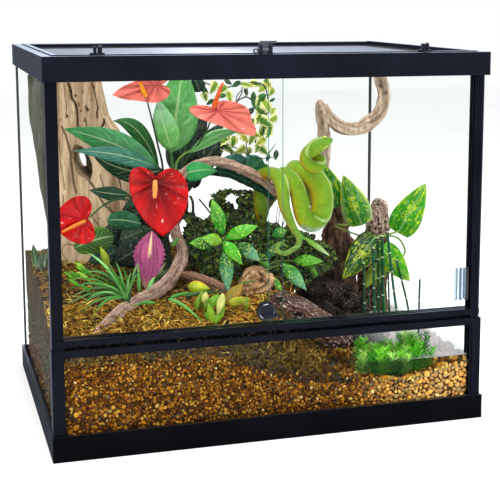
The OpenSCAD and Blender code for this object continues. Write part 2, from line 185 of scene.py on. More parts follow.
def tube(acc, path, rad, n=12, col=(1, 1, 1), wob=0.0, wscale=0.05, seed=0, caps=True, ridges=0.0, nr=5, flat=None):
    """Sweeps a round section along a path; wob roughens it and ridges adds lengthwise grooves."""
    p = np.asarray(path, float)
    m = len(p)
    rad = np.broadcast_to(np.asarray(rad, float), (m,))
    t, A, B = frames(p)
    ang = np.linspace(0, 2 * math.pi, n + 1)
    d = np.r_[0, np.cumsum(np.linalg.norm(np.diff(p, axis=0), axis=1))]
    e = np.cos(ang)[None, :, None] * A[:, None, :] + np.sin(ang)[None, :, None] * B[:, None, :]
    R = np.repeat(rad[:, None], n + 1, 1)
    if wob or ridges:
        k = np.ones((m, n + 1))
        for i in range(m):
            for j in range(n):
                q = p[i] + e[i, j] * rad[i]
                w = wob * (nz(q, wscale, seed) + 0.5 * nz(q, wscale * 2.7, seed + 9) + 0.25 * nz(q, wscale * 7, seed + 5))
                if ridges:
                    a = ang[j] + 0.9 * noise.noise(Vector((d[i] * 0.02, seed, ang[j] * 0.3)))
                    w += ridges * (0.6 * math.sin(nr * a + d[i] * 0.012) + 0.4 * math.sin((2 * nr + 1) * a - d[i] * 0.02 + seed))
                k[i, j] = 1 + w
            k[i, n] = k[i, 0]
        R = R * k
    V = p[:, None, :] + e * R[:, :, None]
    U = np.stack([np.repeat(np.linspace(0, 1, n + 1)[None], m, 0), np.repeat(d[:, None], n + 1, 1)], -1)
    C = np.asarray(col, float)
    C = np.tile(C, (m, n + 1, 1)) if C.ndim == 1 else np.repeat(C[:, None, :], n + 1, 1)
    i, j = np.meshgrid(np.arange(m - 1), np.arange(n), indexing="ij")
    a = (i * (n + 1) + j).ravel()
    F = np.stack([a, a + 1, a + n + 2, a + n + 1], 1)
    acc.add(V.reshape(-1, 3), F, U.reshape(-1, 2), C.reshape(-1, 3))
    if caps:
        for i, s in ((0, -1), (m - 1, 1)):
            ring = V[i, :n]
            c = p[i] + t[i] * rad[i] * 0.35 * s
            W = np.r_[ring, [c]]
            a = np.arange(n)
            b = (a + 1) % n
            F = np.stack([np.full(n, n), b, a] if s < 0 else [np.full(n, n), a, b], 1)
            acc.add(W, F, np.tile([0.5, d[i]], (n + 1, 1)), C[i, 0])
    return V


def strands(acc, P, R, col, sides=3):
    """Many thin tubes at once: P is strands x points x 3, R their radii, col strands x 3."""
    P = np.asarray(P, float)
    n, k = P.shape[:2]
    R = np.broadcast_to(np.asarray(R, float), (n, k)) if np.ndim(R) != 1 else np.repeat(np.asarray(R)[:, None], k, 1)
    T = np.gradient(P, axis=1)
    T /= np.linalg.norm(T, axis=2, keepdims=True) + 1e-9
    up = np.array([0.13, 0.21, 0.97])
    A = np.cross(T, up)
    A /= np.linalg.norm(A, axis=2, keepdims=True) + 1e-9
    B = np.cross(T, A)
    ang = np.arange(sides) * 2 * math.pi / sides
    V = P[:, :, None, :] + R[:, :, None, None] * (np.cos(ang)[None, None, :, None] * A[:, :, None, :] + np.sin(ang)[None, None, :, None] * B[:, :, None, :])
    s, i, j = np.meshgrid(np.arange(n), np.arange(k - 1), np.arange(sides), indexing="ij")
    base = s * k * sides + i * sides
    F = np.stack([base + j, base + (j + 1) % sides, base + sides + (j + 1) % sides, base + sides + j], -1).reshape(-1, 4)
    C = np.repeat(np.asarray(col, float), k * sides, 0)
    U = np.stack([np.tile(np.arange(sides) / sides, n * k), np.tile(np.repeat(np.linspace(0, 1, k), sides), n)], 1)
    acc.add(V.reshape(-1, 3), F, U, C)
    s = np.arange(n)
    a = s[:, None] * k * sides
    if sides == 3:
        E = np.concatenate([a + np.array([0, 2, 1]), a + (k - 1) * sides + np.array([0, 1, 2])])
        acc.f.append(E + acc.n - n * k * sides)
    elif sides == 4:
        E = np.concatenate([a + np.array([0, 3, 2, 1]), a + (k - 1) * sides + np.array([0, 1, 2, 3])])
        acc.f.append(E + acc.n - n * k * sides)


def ico(sub):
    bm = bmesh.new()
    bmesh.ops.create_icosphere(bm, subdivisions=sub, radius=1.0)
    bm.verts.index_update()
    v = np.array([x.co[:] for x in bm.verts])
    f = np.array([[x.index for x in q.verts] for q in bm.faces])
    bm.free()
    return v, f


ICO = {1: ico(1), 2: ico(2), 3: ico(3)}


def rots(g, n):
    q = g.normal(size=(n, 4))
    q /= np.linalg.norm(q, axis=1)[:, None]
    w, x, y, z = q.T
    return np.stack([1 - 2 * (y * y + z * z), 2 * (x * y - z * w), 2 * (x * z + y * w), 2 * (x * y + z * w), 1 - 2 * (x * x + z * z),
                     2 * (y * z - x * w), 2 * (x * z - y * w), 2 * (y * z + x * w), 1 - 2 * (x * x + y * y)], 1).reshape(n, 3, 3)


def stones(acc, cen, size, col, seed, sub=2, facet=0.55):
    """Rounded, slightly faceted pebbles. size is the mean radius in mm."""
    g = rng(seed)
    v, f = ICO[sub]
    n = len(cen)
    k = len(v)
    V = np.repeat(v[None], n, 0)
    for _ in range(6):
        d = g.normal(size=(n, 1, 3))
        d /= np.linalg.norm(d, axis=2, keepdims=True)
        h = g.uniform(facet, 0.98, size=(n, 1, 1))
        x = (V * d).sum(2, keepdims=True)
        V = V - np.maximum(x - h, 0) * d * 0.9
    V *= g.uniform(0.72, 1.22, size=(n, 1, 3)) * np.asarray(size, float).reshape(-1, 1, 1)
    V = np.einsum("nij,nkj->nki", rots(g, n), V)
    V += np.asarray(cen, float)[:, None, :]
    F = (f[None] + (np.arange(n) * k)[:, None, None]).reshape(-1, 3)
    acc.add(V.reshape(-1, 3), F, None, np.repeat(np.asarray(col, float), k, 0))


# ------------------------------------------------------------------ material helper
class Mat:
    def __init__(self, name):
        m = bpy.data.materials.new(name)
        m.use_nodes = True
        self.m, self.t = m, m.node_tree
        self.t.nodes.clear()
        self.out = self.t.nodes.new("ShaderNodeOutputMaterial")

    def node(self, kind, **kw):
        n = self.t.nodes.new("ShaderNode" + kind)
        for k, v in kw.items():
            setattr(n, k, v)
        return n

    def put(self, sock, val):
        if isinstance(val, bpy.types.NodeSocket):
            self.t.links.new(val, sock)
        elif isinstance(val, (tuple, list)):
            v = tuple(val)
            if sock.type == "RGBA" and len(v) == 3:
                v = v + (1.0,)
            sock.default_value = v
        elif val is not None:
            if sock.type == "RGBA":
                val = (val, val, val, 1.0)
            sock.default_value = val

    def coord(self, which="Object", scale=None, rot=None, loc=None):
        c = self.node("TexCoord").outputs[which]
        if scale is None and rot is None and loc is None:
            return c
        mp = self.node("Mapping")
        self.put(mp.inputs["Vector"], c)
        if scale is not None:
            mp.inputs["Scale"].default_value = scale
        if rot is not None:
            mp.inputs["Rotation"].default_value = rot
        if loc is not None:
            mp.inputs["Location"].default_value = loc
        return mp.outputs[0]

    def uv(self, scale=None):
        n = self.node("UVMap")
        n.uv_map = "uv"
        if scale is None:
            return n.outputs[0]
        mp = self.node("Mapping")
        self.put(mp.inputs["Vector"], n.outputs[0])
        mp.inputs["Scale"].default_value = scale
        return mp.outputs[0]

    def xyz(self, vec):
        n = self.node("SeparateXYZ")
        self.put(n.inputs[0], vec)
        return n.outputs

    def join(self, x, y, z):
        n = self.node("CombineXYZ")
        for i, a in enumerate((x, y, z)):
            self.put(n.inputs[i], a)
        return n.outputs[0]

    def col(self):
        return self.node("VertexColor", layer_name="col").outputs["Color"]

    def noise(self, vec, scale, detail=4.0, rough=0.55, dist=0.0, out="Fac"):
        n = self.node("TexNoise")
        self.put(n.inputs["Vector"], vec)
        n.inputs["Scale"].default_value = scale
        n.inputs["Detail"].default_value = detail
        n.inputs["Roughness"].default_value = rough
        n.inputs["Distortion"].default_value = dist
        return n.outputs[out]

    def voro(self, vec, scale, feature="F1", out="Distance", rand=1.0):
        n = self.node("TexVoronoi", feature=feature)
        self.put(n.inputs["Vector"], vec)
        n.inputs["Scale"].default_value = scale
        n.inputs["Randomness"].default_value = rand
        return n.outputs[out]

    def ramp(self, fac, stops, ease=False):
        n = self.node("ValToRGB")
        r = n.color_ramp
        if ease:
            r.interpolation = "EASE"
        while len(r.elements) > 1:
            r.elements.remove(r.elements[-1])
        for i, (p, c) in enumerate(stops):
            e = r.elements[0] if i == 0 else r.elements.new(p)
            e.position = p
            c = (c, c, c) if isinstance(c, (int, float)) else c
            e.color = (c[0], c[1], c[2], 1.0)
        self.put(n.inputs[0], fac)
        return n.outputs[0]

    def mix(self, fac, a, b, blend="MIX"):
        n = self.node("Mix", data_type="RGBA", blend_type=blend)
        n.clamp_factor = True
        self.put(n.inputs[0], fac)
        self.put(n.inputs[6], a)
        self.put(n.inputs[7], b)
        return n.outputs[2]

    def math(self, op, a, b=None, c=None, clamp=False):
        n = self.node("Math", operation=op, use_clamp=clamp)
        self.put(n.inputs[0], a)
        if b is not None:
            self.put(n.inputs[1], b)
        if c is not None:
            self.put(n.inputs[2], c)
        return n.outputs[0]

    def step(self, x, lo, hi):
        """0 below lo, 1 above hi."""
        n = self.node("MapRange", interpolation_type="SMOOTHSTEP")
        self.put(n.inputs["Value"], x)
        n.inputs["From Min"].default_value = lo
        n.inputs["From Max"].default_value = hi
        return n.outputs["Result"]

    def bump(self, height, dist, strength=1.0, normal=None):
        n = self.node("Bump")
        n.inputs["Strength"].default_value = strength
        n.inputs["Distance"].default_value = dist
        self.put(n.inputs["Height"], height)
        if normal is not None:
            self.put(n.inputs["Normal"], normal)
        return n.outputs[0]

    def bsdf(self, color, rough=0.5, metal=0.0, spec=0.5, normal=None, coat=0.0, coat_rough=0.1, sub=0.0,
             sub_rad=(0.004, 0.004, 0.002), sheen=0.0, trans=0.0, ior=1.5, finish=True):
        n = self.node("BsdfPrincipled")
        self.put(n.inputs["Base Color"], color)
        self.put(n.inputs["Roughness"], rough)
        n.inputs["Metallic"].default_value = metal
        n.inputs["Specular IOR Level"].default_value = spec
        n.inputs["IOR"].default_value = ior
        if coat:
            n.inputs["Coat Weight"].default_value = coat
            n.inputs["Coat Roughness"].default_value = coat_rough
        if sub:
            n.inputs["Subsurface Weight"].default_value = sub
            n.inputs["Subsurface Radius"].default_value = sub_rad
            n.inputs["Subsurface Scale"].default_value = 1.0
        if sheen:
            n.inputs["Sheen Weight"].default_value = sheen
        if trans:
            n.inputs["Transmission Weight"].default_value = trans
        if normal is not None:
            self.put(n.inputs["Normal"], normal)
        if finish:
            self.put(self.out.inputs[0], n.outputs[0])
        return n.outputs[0]

    def blend(self, fac, a, b):
        n = self.node("MixShader")
        self.put(n.inputs[0], fac)
        self.put(n.inputs[1], a)
        self.put(n.inputs[2], b)
        return n.outputs[0]

    def finish(self, shader):
        self.put(self.out.inputs[0], shader)
        return self.m


# ------------------------------------------------------------------ hardware materials
def m_rim(name="rim_plastic", base=(0.003, 0.0034, 0.0066), rough=0.3, low=0.007, side=0.07, top=0.7):
    """Moulded black plastic: dull body colour under a gloss that grows at a glancing angle, most of all on the polished upper faces."""
    g = Mat(name)
    o = g.coord()
    grain = g.noise(o, 900, 3, 0.6)
    flow = g.noise(o, 16, 3, 0.5)
    c = g.mix(g.step(flow, 0.35, 0.75), base, tuple(1.8 * b for b in base))
    dust = g.step(g.noise(o, 260, 5, 0.7), 0.63, 0.8)
    c = g.mix(g.math("MULTIPLY", dust, 0.08), c, (0.12, 0.13, 0.16))
    b = g.bump(grain, 0.00006, 0.35)
    b = g.bump(flow, 0.0007, 0.1, b)
    df = g.node("BsdfDiffuse")
    g.put(df.inputs["Color"], c)
    g.put(df.inputs["Normal"], b)
    gl = g.node("BsdfGlossy")
    g.put(gl.inputs["Color"], (0.72, 0.82, 1.0))
    g.put(gl.inputs["Roughness"], g.math("MULTIPLY_ADD", flow, 0.14, rough - 0.07))
    g.put(gl.inputs["Normal"], b)
    lw = g.node("LayerWeight")
    lw.inputs["Blend"].default_value = 0.5
    f = g.step(lw.outputs["Facing"], 0.45, 0.97)
    up = g.step(g.xyz(g.node("TexCoord").outputs["Normal"])[2], 0.6, 0.9)
    hi = g.math("MULTIPLY_ADD", up, top - side, side)
    fac = g.math("MULTIPLY_ADD", f, hi, low)
    return g.finish(g.blend(fac, df.outputs[0], gl.outputs[0]))


def m_glass(name, axis, gloss=0.35, edge=True, tint=(0.986, 0.996, 0.993)):
    """A clear pane: lets light straight through, mirrors more at a glancing angle, with green-blue edges."""
    g = Mat(name)
    n = g.xyz(g.node("TexCoord").outputs["Normal"])
    face = g.step(g.math("ABSOLUTE", n[axis]), 0.5, 0.8)
    geo = g.node("NewGeometry")
    front = g.math("SUBTRACT", 1.0, geo.outputs["Backfacing"])
    fr = g.node("Fresnel")
    fr.inputs["IOR"].default_value = 1.5
    fac = g.math("MULTIPLY", g.math("MULTIPLY", fr.outputs[0], gloss), front)
    o = g.coord()
    smear = g.step(g.noise(o, 9, 4, 0.6), 0.5, 0.85)
    tcol = g.mix(smear, tint, tuple(t * 0.99 for t in tint))
    tr = g.node("BsdfTransparent")
    g.put(tr.inputs[0], tcol)
    gl = g.node("BsdfGlossy")
    g.put(gl.inputs["Color"], (0.95, 0.97, 0.98))
    gl.inputs["Roughness"].default_value = 0.015
    pane = g.blend(fac, tr.outputs[0], gl.outputs[0])
    if not edge:
        return g.finish(pane)
    rim = g.bsdf(g.mix(g.step(g.noise(o, 35, 2), 0.3, 0.7), (0.03, 0.15, 0.15), (0.08, 0.3, 0.28)), 0.12, spec=0.5, finish=False)
    tr2 = g.node("BsdfTransparent")
    g.put(tr2.inputs[0], (0.36, 0.72, 0.68))
    return g.finish(g.blend(face, g.blend(0.4, rim, tr2.outputs[0]), pane))


def m_plain(name, base, rough, scale=600, var=0.35, metal=0.0, spec=0.5, bump=0.00004, brushed=False, coat=0.0):
    g = Mat(name)
    o = g.coord(scale=(1, 1, 14)) if brushed else g.coord()
    a = g.noise(o, scale, 4, 0.6)
    w = g.noise(g.coord(), 45, 4, 0.6)
    c = g.mix(w, tuple(b * (1 - var) for b in base), tuple(min(1, b * (1 + var)) for b in base))
    r = g.math("MULTIPLY_ADD", w, 0.2, max(0.02, rough - 0.1))
    g.bsdf(c, r, metal=metal, spec=spec, normal=g.bump(a, bump, 0.5), coat=coat)
    return g.m


M_RIM = m_rim()
def m_lock():
    """Glossy black lock: the curved highlights on its rings are painted into the base colour."""
    g = Mat("lock_black")
    o = g.coord()
    x, y, z = g.xyz(o)
    x = g.math("ADD", x, 0.016)
    z = g.math("SUBTRACT", z, 0.18)
    r = g.math("SQRT", g.math("ADD", g.math("MULTIPLY", x, x), g.math("MULTIPLY", z, z)))
    ang = g.math("ARCTAN2", z, x)
    wob = g.noise(o, 60, 2, 0.5)
    ring = g.math("SINE", g.math("MULTIPLY_ADD", wob, 3.0, g.math("MULTIPLY", r, 1300.0)))
    arc = g.math("SINE", g.math("MULTIPLY_ADD", r, 260.0, g.math("MULTIPLY", ang, 3.0)))
    # painted highlight: bright arcs on the rings are painted into the base colour
    painted_glint = g.math("MULTIPLY", g.step(ring, 0.6, 0.95), g.step(arc, 0.35, 0.8))
    c = g.mix(painted_glint, (0.0015, 0.0017, 0.004), (0.5, 0.55, 0.64))
    g.bsdf(c, 0.22, spec=0.28, coat=0.12, normal=g.bump(ring, 0.0003, 0.5))
    return g.m


M_TRIM = m_rim("trim_plastic", (0.002, 0.0023, 0.0045), 0.2, 0.005, 0.12, 0.5)
M_BASE = m_rim("base_plastic", (0.0012, 0.0013, 0.002), 0.3, 0.002, 0.05, 0.6)
M_LOCK = m_lock()
M_LEVER = m_rim("lever_black", (0.003, 0.0034, 0.007), 0.2, 0.014, 0.35, 0.45)
M_CLIP = m_rim("clip_black", (0.004, 0.0044, 0.008), 0.36, 0.012, 0.2, 0.4)
M_STEEL = m_plain("steel", (0.55, 0.56, 0.58), 0.26, scale=900, metal=1.0, brushed=True)
M_DSTEEL = m_plain("dark_steel", (0.06, 0.065, 0.08), 0.32, metal=0.4)
M_GREY = m_plain("grey_metal", (0.05, 0.055, 0.07), 0.34, metal=0.4)
M_NYLON = m_plain("nylon", (0.72, 0.72, 0.68), 0.42, var=0.08)
M_RUBBER = m_plain("rubber", (0.012, 0.012, 0.013), 0.65)
M_SEAL = m_plain("silicone", (0.0035, 0.0045, 0.009), 0.4)


def m_acrylic():
    g = Mat("clear_acrylic")
    geo = g.node("NewGeometry")
    front = g.math("SUBTRACT", 1.0, geo.outputs["Backfacing"])
    fr = g.node("Fresnel")
    fr.inputs["IOR"].default_value = 1.5
    lw = g.node("LayerWeight")
    lw.inputs["Blend"].default_value = 0.42
    # painted shade: the bluish tint at a glancing angle and the dark stripes across x stand in for light bent at the
    # clear pull's edges
    tcol = g.mix(g.step(lw.outputs["Facing"], 0.25, 0.8), (0.74, 0.81, 0.86), (0.1, 0.2, 0.34))
    tcol = g.mix(g.math("MULTIPLY", g.noise(g.coord(), 120, 2), 0.1), tcol, (0.8, 0.86, 0.9))
    x = g.xyz(g.coord())[0]
    edge = g.math("PINGPONG", g.math("ADD", g.math("MULTIPLY", x, 180.0), 0.36), 0.5)
    tcol = g.mix(g.math("MULTIPLY", g.step(edge, 0.4, 0.12), 0.9), tcol, (0.1, 0.17, 0.26))
    tr = g.node("BsdfTransparent")
    g.put(tr.inputs[0], tcol)
    gl = g.node("BsdfGlossy")
    gl.inputs["Roughness"].default_value = 0.05
    return g.finish(g.blend(g.math("MULTIPLY", fr.outputs[0], front), tr.outputs[0], gl.outputs[0]))


def wear(node, mat):
    o = N[node]
    o.data.materials.clear()
    o.data.materials.append(mat)
    for p in o.data.polygons:
        p.material_index = 0


def wear_bev(node, mat, w=0.0006, seg=2):
    wear(node, mat)
    b = N[node].modifiers.new("edge", "BEVEL")
    b.width = w
    b.segments = seg
    b.limit_method = "ANGLE"
    b.angle_limit = math.radians(40)
    b.use_clamp_overlap = True
    b.harden_normals = False


for n in ("top_frame", "lid_frame"):
    wear_bev(n, M_RIM, 0.0008)
wear_bev("base_frame", M_BASE, 0.0008)
for n in ("kick_trim", "lower_door_track", "upper_door_track", "left_corner_post", "right_corner_post"):
    wear_bev(n, M_TRIM, 0.0005)
wear("floor_glass", m_glass("glass_floor", 2, edge=False))
for n in ("kick_glass", "door_left_glass", "door_right_glass"):
    wear(n, m_glass("glass_" + n, 1, 0.05))
wear("back_glass", m_glass("glass_back", 1, 0.25, False))
wear("left_glass", m_glass("glass_left", 0, 0.03, False))
wear("right_glass", m_glass("glass_right", 0, 0.14, False))
wear("rear_corner_seals", M_SEAL)
wear("door_left_glides", M_NYLON)
wear("door_right_glides", M_NYLON)
wear("door_pull", m_acrylic())
wear_bev("lock_bracket", M_DSTEEL, 0.0002)
wear_bev("lock_body", M_LOCK, 0.0014, 3)
wear_bev("lock_lever", M_LEVER, 0.001, 3)
wear("lock_plunger", M_STEEL)
wear("lock_pad", M_RUBBER)
wear("lid_spline", M_RUBBER)
wear("lid_hinge_pins", M_STEEL)
wear_bev("clip_studs", M_GREY, 0.0003)
wear_bev("clip_left", M_CLIP, 0.0004)
wear_bev("clip_right", M_CLIP, 0.0004)
wear_bev("hasp_bracket", M_CLIP, 0.0004)
wear("hasp_pin", M_STEEL)
wear("hasp_loop", M_DSTEEL)
wear_bev("hasp_lever", M_GREY, 0.0003)

# ------------------------------------------------------------------ floor and light
def m_floor():
    g = Mat("pale_floor")
    c = g.mix(g.step(g.noise(g.coord(), 3, 3), 0.3, 0.7), (0.93, 0.93, 0.93), (0.955, 0.955, 0.955))
    g.bsdf(c, 0.8, spec=0.1)
    return g.m


me = bpy.data.meshes.new("floor")
q = [(-6 + 12 * i / 8, -6 + 12 * j / 8, 0.0) for j in range(9) for i in range(9)]
me.from_pydata(q, [], [(j * 9 + i, j * 9 + i + 1, j * 9 + i + 10, j * 9 + i + 9) for j in range(8) for i in range(8)])
floor = bpy.data.objects.new("floor", me)
scene.collection.objects.link(floor)
floor.location.z = -0.0004
me.materials.append(m_floor())

w = bpy.data.worlds.new("studio")
scene.world = w
w.use_nodes = True
bg = w.node_tree.nodes["Background"]
bg.inputs[0].default_value = (1.0, 1.0, 1.0, 1.0)
bg.inputs[1].default_value = 1.0


def area(name, loc, to, size, power, color=(1, 1, 1)):
    l = bpy.data.lights.new(name, "AREA")
    l.shape = "RECTANGLE"
    l.size, l.size_y = size
    l.energy = power
    l.color = color
    o = bpy.data.objects.new(name, l)
    scene.collection.objects.link(o)
    o.location = loc
    d = Vector(to) - Vector(loc)
    o.rotation_euler = d.to_track_quat("-Z", "Y").to_euler()
    return o


area("key", (-1.1, -1.5, 1.9), (0, 0, 0.2), (1.1, 1.1), 42, (1.0, 0.985, 0.96))
area("top", (0.1, 0.0, 1.7), (0, 0, 0.2), (0.9, 0.7), 30)
area("fill", (1.5, -1.2, 0.7), (0, 0, 0.25), (0.9, 0.9), 12, (0.95, 0.97, 1.0))


# ------------------------------------------------------------------ ground
BED = np.array([(-295.8, 130), (-205, 133), (-133, 122), (-83, 125), (-37, 110), (-8, 100), (62, 85), (93, 76), (183, 65.5), (230, 70), (295.8, 87)], float)


def bed_z(x):
    return np.interp(x, BED[:, 0], BED[:, 1])


def moss_z(x, y):
    z = np.interp(y, [-215, -203, -120, -40, 60, 219], [138, 146, 158, 172, 186, 192])
    return np.minimum(z, np.interp(x, [30, 78, 93], [215, 150, 100]))


def fbm(x, y, s, seed, octv=4):
    out = np.zeros(np.shape(x))
    xf, yf = np.ravel(x), np.ravel(y)
    o = np.zeros(xf.shape)
    a = 1.0
    for k in range(octv):
        o += a * np.array([noise.noise(Vector((p * s, q * s, seed + 7.3 * k))) for p, q in zip(xf, yf)])
        a *= 0.5
        s *= 2.1
    return o.reshape(np.shape(x)) if np.ndim(x) else float(o[0])


def m_pebble():
    g = Mat("pebbles")
    o = g.coord()
    c = g.col()
    sp = g.noise(o, 620, 3, 0.7)
    c = g.mix(g.math("MULTIPLY", g.step(sp, 0.5, 0.72), 0.55), c, g.mix(1.0, c, (0.35, 0.22, 0.12), "MULTIPLY"))
    c = g.mix(g.math("MULTIPLY", g.step(g.noise(o, 380, 2), 0.6, 0.8), 0.3), c, (0.62, 0.48, 0.3))
    r = g.math("MULTIPLY_ADD", sp, 0.4, 0.32)
    g.bsdf(c, r, spec=0.07, normal=g.bump(sp, 0.0004, 0.5))
    return g.m


PEB = [(S(160, 104, 22), 5), (S(134, 80, 10), 5), (S(196, 146, 50), 3), (S(104, 58, 8), 5), (S(200, 160, 84), 0.9), (S(80, 44, 6), 3.4),
       (S(180, 120, 20), 4), (S(214, 190, 130), 0.12), (S(58, 34, 10), 1.6), (S(132, 108, 66), 0.5), (S(92, 78, 58), 0.3), (S(126, 66, 10), 1.0)]


def peb_col(g, n, bright=1.0, dark=0.0):
    w = np.array([p[1] for p in PEB], float)
    c = np.array([p[0] for p in PEB])[g.choice(len(PEB), n, p=w / w.sum())]
    c = c * g.uniform(0.7, 1.25, size=(n, 1)) * g.uniform(0.93, 1.07, size=(n, 3)) * bright
    return np.clip(c * (1 - dark), 0, 1)


def darts(g, w, h, rfun, tries, inside, tight=0.86):
    """Fills a w x h rectangle with discs of local radius rfun; larger ones first."""
    cell = 12.0
    grid = {}
    out = []
    for k in range(tries):
        x, y = g.uniform(0, w), g.uniform(0, h)
        if not inside(x, y):
            continue
        r = rfun(x, y) * g.uniform(0.72, 1.3) * (1.0 if k < tries * 0.4 else 0.78 if k < tries * 0.7 else 0.55)
        i, j = int(x // cell), int(y // cell)
        ok = True
        for a in range(i - 1, i + 2):
            for b in range(j - 1, j + 2):
                for q in grid.get((a, b), ()):
                    if (q[0] - x) ** 2 + (q[1] - y) ** 2 < (tight * (q[2] + r)) ** 2:
                        ok = False
                        break
                if not ok:
                    break
            if not ok:
                break
        if ok:
            grid.setdefault((i, j), []).append((x, y, r))
            out.append((x, y, r))
    return np.array(out)


M_PEB = m_pebble()


def gravel():
    g = rng(11)
    parts = {"gravel_front_left": Acc(), "gravel_front_right": Acc(), "gravel_pond_bed": Acc(), "gravel_sides": Acc()}

    def rfront(x, z):
        X, Z = x - 289, z + 22
        big = max(0, 1 - (X + 289) / 260) * max(0, 1 - (Z - 22) / 100)
        right = max(0, (X - 60) / 235)
        return 2.15 + 1.7 * big + 2.0 * right + 0.5 * max(0, 1 - (Z - 22) / 60)

    for layer in range(3):
        d = darts(g, 578, 116, rfront, (42000, 20000, 9000)[layer], lambda x, z: z + 22 < bed_z(x - 289) - (0.5, 1.5, 3)[layer], (0.78, 0.8, 0.84)[layer])
        cen = np.c_[d[:, 0] - 289, np.full(len(d), -215.0) + d[:, 2] * 1.05 + layer * 3.2, d[:, 1] + 22]
        # painted shade: the layers behind the front row are darkened as shade between the front pebbles
        col = peb_col(g, len(d), 1.0, (0, 0.25, 0.5)[layer])
        col *= (0.62 + 0.14 * np.clip((cen[:, 2] - 30) / 70, 0, 1) + 1.5 * np.clip((cen[:, 0] - 90) / 160, 0, 1) + 0.1 * np.clip((-150 - cen[:, 0]) / 140, 0, 1))[:, None]
        pale = np.clip((cen[:, 0] - 110) / 150, 0, 1)[:, None] * 0.55
        col = col * (1 - pale) + np.array(S(222, 186, 118)) * pale * g.uniform(0.6, 1.2, (len(d), 1))
        soil = (cen[:, 2] > bed_z(cen[:, 0]) - 14 - 5 * np.sin(cen[:, 0] * 0.05)) & (cen[:, 0] > -60) & (cen[:, 0] < 110) & (g.random(len(d)) < 0.75)
        col[soil] = np.array(S(52, 38, 24)) * g.uniform(0.5, 1.6, (int(soil.sum()), 1))
        soil = (cen[:, 2] > bed_z(cen[:, 0]) - 8) & (cen[:, 0] <= -60) & (g.random(len(d)) < 0.5)
        col[soil] *= 0.5
        left = cen[:, 0] < -20
        for side, key in ((left, "gravel_front_left"), (~left, "gravel_front_right")):
            if layer == 0:
                stones(parts[key], cen[side], d[side, 2], col[side], 20 + layer, 2)
            else:
                stones(parts[key], cen[side], d[side, 2], col[side], 20 + layer, 1)
    # pond bed and the bank towards the land
    d = darts(g, 262, 428, lambda x, y: 3.6, 9000, lambda x, y: True, 0.8)
    X, Y = d[:, 0] + 31, d[:, 1] - 211
    Z = bed_z(X) + 1.5 * np.array([noise.noise(Vector((a * 0.03, b * 0.03, 3))) for a, b in zip(X, Y)]) - 0.8
    stones(parts["gravel_pond_bed"], np.c_[X, Y, Z], d[:, 2], peb_col(g, len(d), 1.15), 31, 2, 0.6)
    # side and back faces
    a = parts["gravel_sides"]
    d = darts(g, 425, 114, lambda x, y: 4.6 if y < 40 else 2.6, 9000, lambda y, z: z + 22 < 128, 0.8)
    cen = np.c_[np.full(len(d), -296.0) + d[:, 2] * 1.1, d[:, 0] - 208, d[:, 1] + 22]
    col = peb_col(g, len(d), 0.26)
    hgt = cen[:, 2] - 42 - 10 * np.sin(cen[:, 1] * 0.02)
    sl = g.random(len(d)) < np.clip(hgt / 40, 0, 0.93)
    col[sl] = np.array([S(60, 58, 44), S(46, 44, 32), S(78, 78, 62), S(46, 32, 22)])[g.choice(4, int(sl.sum()))] * g.uniform(0.6, 1.2, (int(sl.sum()), 1))
    stones(a, cen, d[:, 2], col, 41, 2)
    d = darts(g, 425, 70, lambda x, y: 3.7, 4200, lambda y, z: z + 22 < 87, 0.82)
    stones(a, np.c_[np.full(len(d), 296.0) - d[:, 2] * 1.1, d[:, 0] - 208, d[:, 1] + 22], d[:, 2], peb_col(g, len(d), 1.0), 42, 2)
    d = darts(g, 585, 116, lambda x, y: 3.9, 7500, lambda x, z: z + 22 < bed_z(x - 292) - 1, 0.82)
    stones(a, np.c_[d[:, 0] - 292, np.full(len(d), 219.5) - d[:, 2] * 1.1, d[:, 1] + 22], d[:, 2], peb_col(g, len(d), 0.9), 43, 1)
    # what shows between the pebbles
    xs = np.linspace(-293, 293, 60)
    top = bed_z(xs) - 3.2
    V, F = [], []
    for y in (-210.5, 216.5):
        for x, z in zip(xs, top):
            V.append((x, y, z))
            V.append((x, y, 21.2))
    n = len(xs)
    for i in range(n - 1):
        a0, b0 = 2 * i, 2 * n + 2 * i
        F += [(a0, a0 + 1, a0 + 3, a0 + 2), (b0, b0 + 2, b0 + 3, b0 + 1), (a0, a0 + 2, b0 + 2, b0), (a0 + 1, b0 + 1, b0 + 3, a0 + 3)]
    F += [(0, 2 * n, 2 * n + 1, 1), (2 * n - 2, 2 * n - 1, 4 * n - 1, 4 * n - 2)]
    core = Acc()
    core.add(V, F, None, S(70, 42, 20))
    ob = core.build("gravel_core", M_PEB, smooth=False, replaces=("gravel_bed",), slot="gravel")
    for k, p in parts.items():
        p.build(k, M_PEB, replaces=("gravel_bed",), slot="gravel")


gravel()


def m_soil():
    g = Mat("peat")
    o = g.coord()
    n1 = g.noise(o, 90, 6, 0.7)
    n2 = g.noise(o, 420, 4, 0.7)
    c = g.ramp(n1, [(0.3, S(18, 13, 8)), (0.48, S(50, 35, 16)), (0.62, S(92, 68, 28)), (0.8, S(58, 50, 26))])
    c = g.mix(g.step(n2, 0.42, 0.62), c, g.mix(1.0, c, (0.4, 0.36, 0.3), "MULTIPLY"))
    g.bsdf(c, 0.9, spec=0.08, normal=g.bump(n2, 0.003, 0.8))
    return g.m


def m_moss():
    g = Mat("moss_strands")
    c = g.col()
    n = g.noise(g.coord(), 300, 3)
    c = g.mix(g.step(n, 0.45, 0.7), c, g.mix(1.0, c, (0.6, 0.55, 0.45), "MULTIPLY"))
    g.bsdf(c, 0.7, spec=0.1)
    return g.m


M_SOIL, M_MOSS = m_soil(), m_moss()
MOSS = [(S(196, 152, 52), 4), (S(158, 112, 34), 5), (S(112, 76, 24), 5), (S(226, 196, 100), 2.2), (S(66, 44, 16), 4), (S(150, 138, 44), 1.6), (S(182, 128, 40), 3)]


def moss_col(g, n, mul=1.0):
    w = np.array([p[1] for p in MOSS], float)
    return np.array([p[0] for p in MOSS])[g.choice(len(MOSS), n, p=w / w.sum())] * g.uniform(0.75, 1.25, size=(n, 1)) * mul


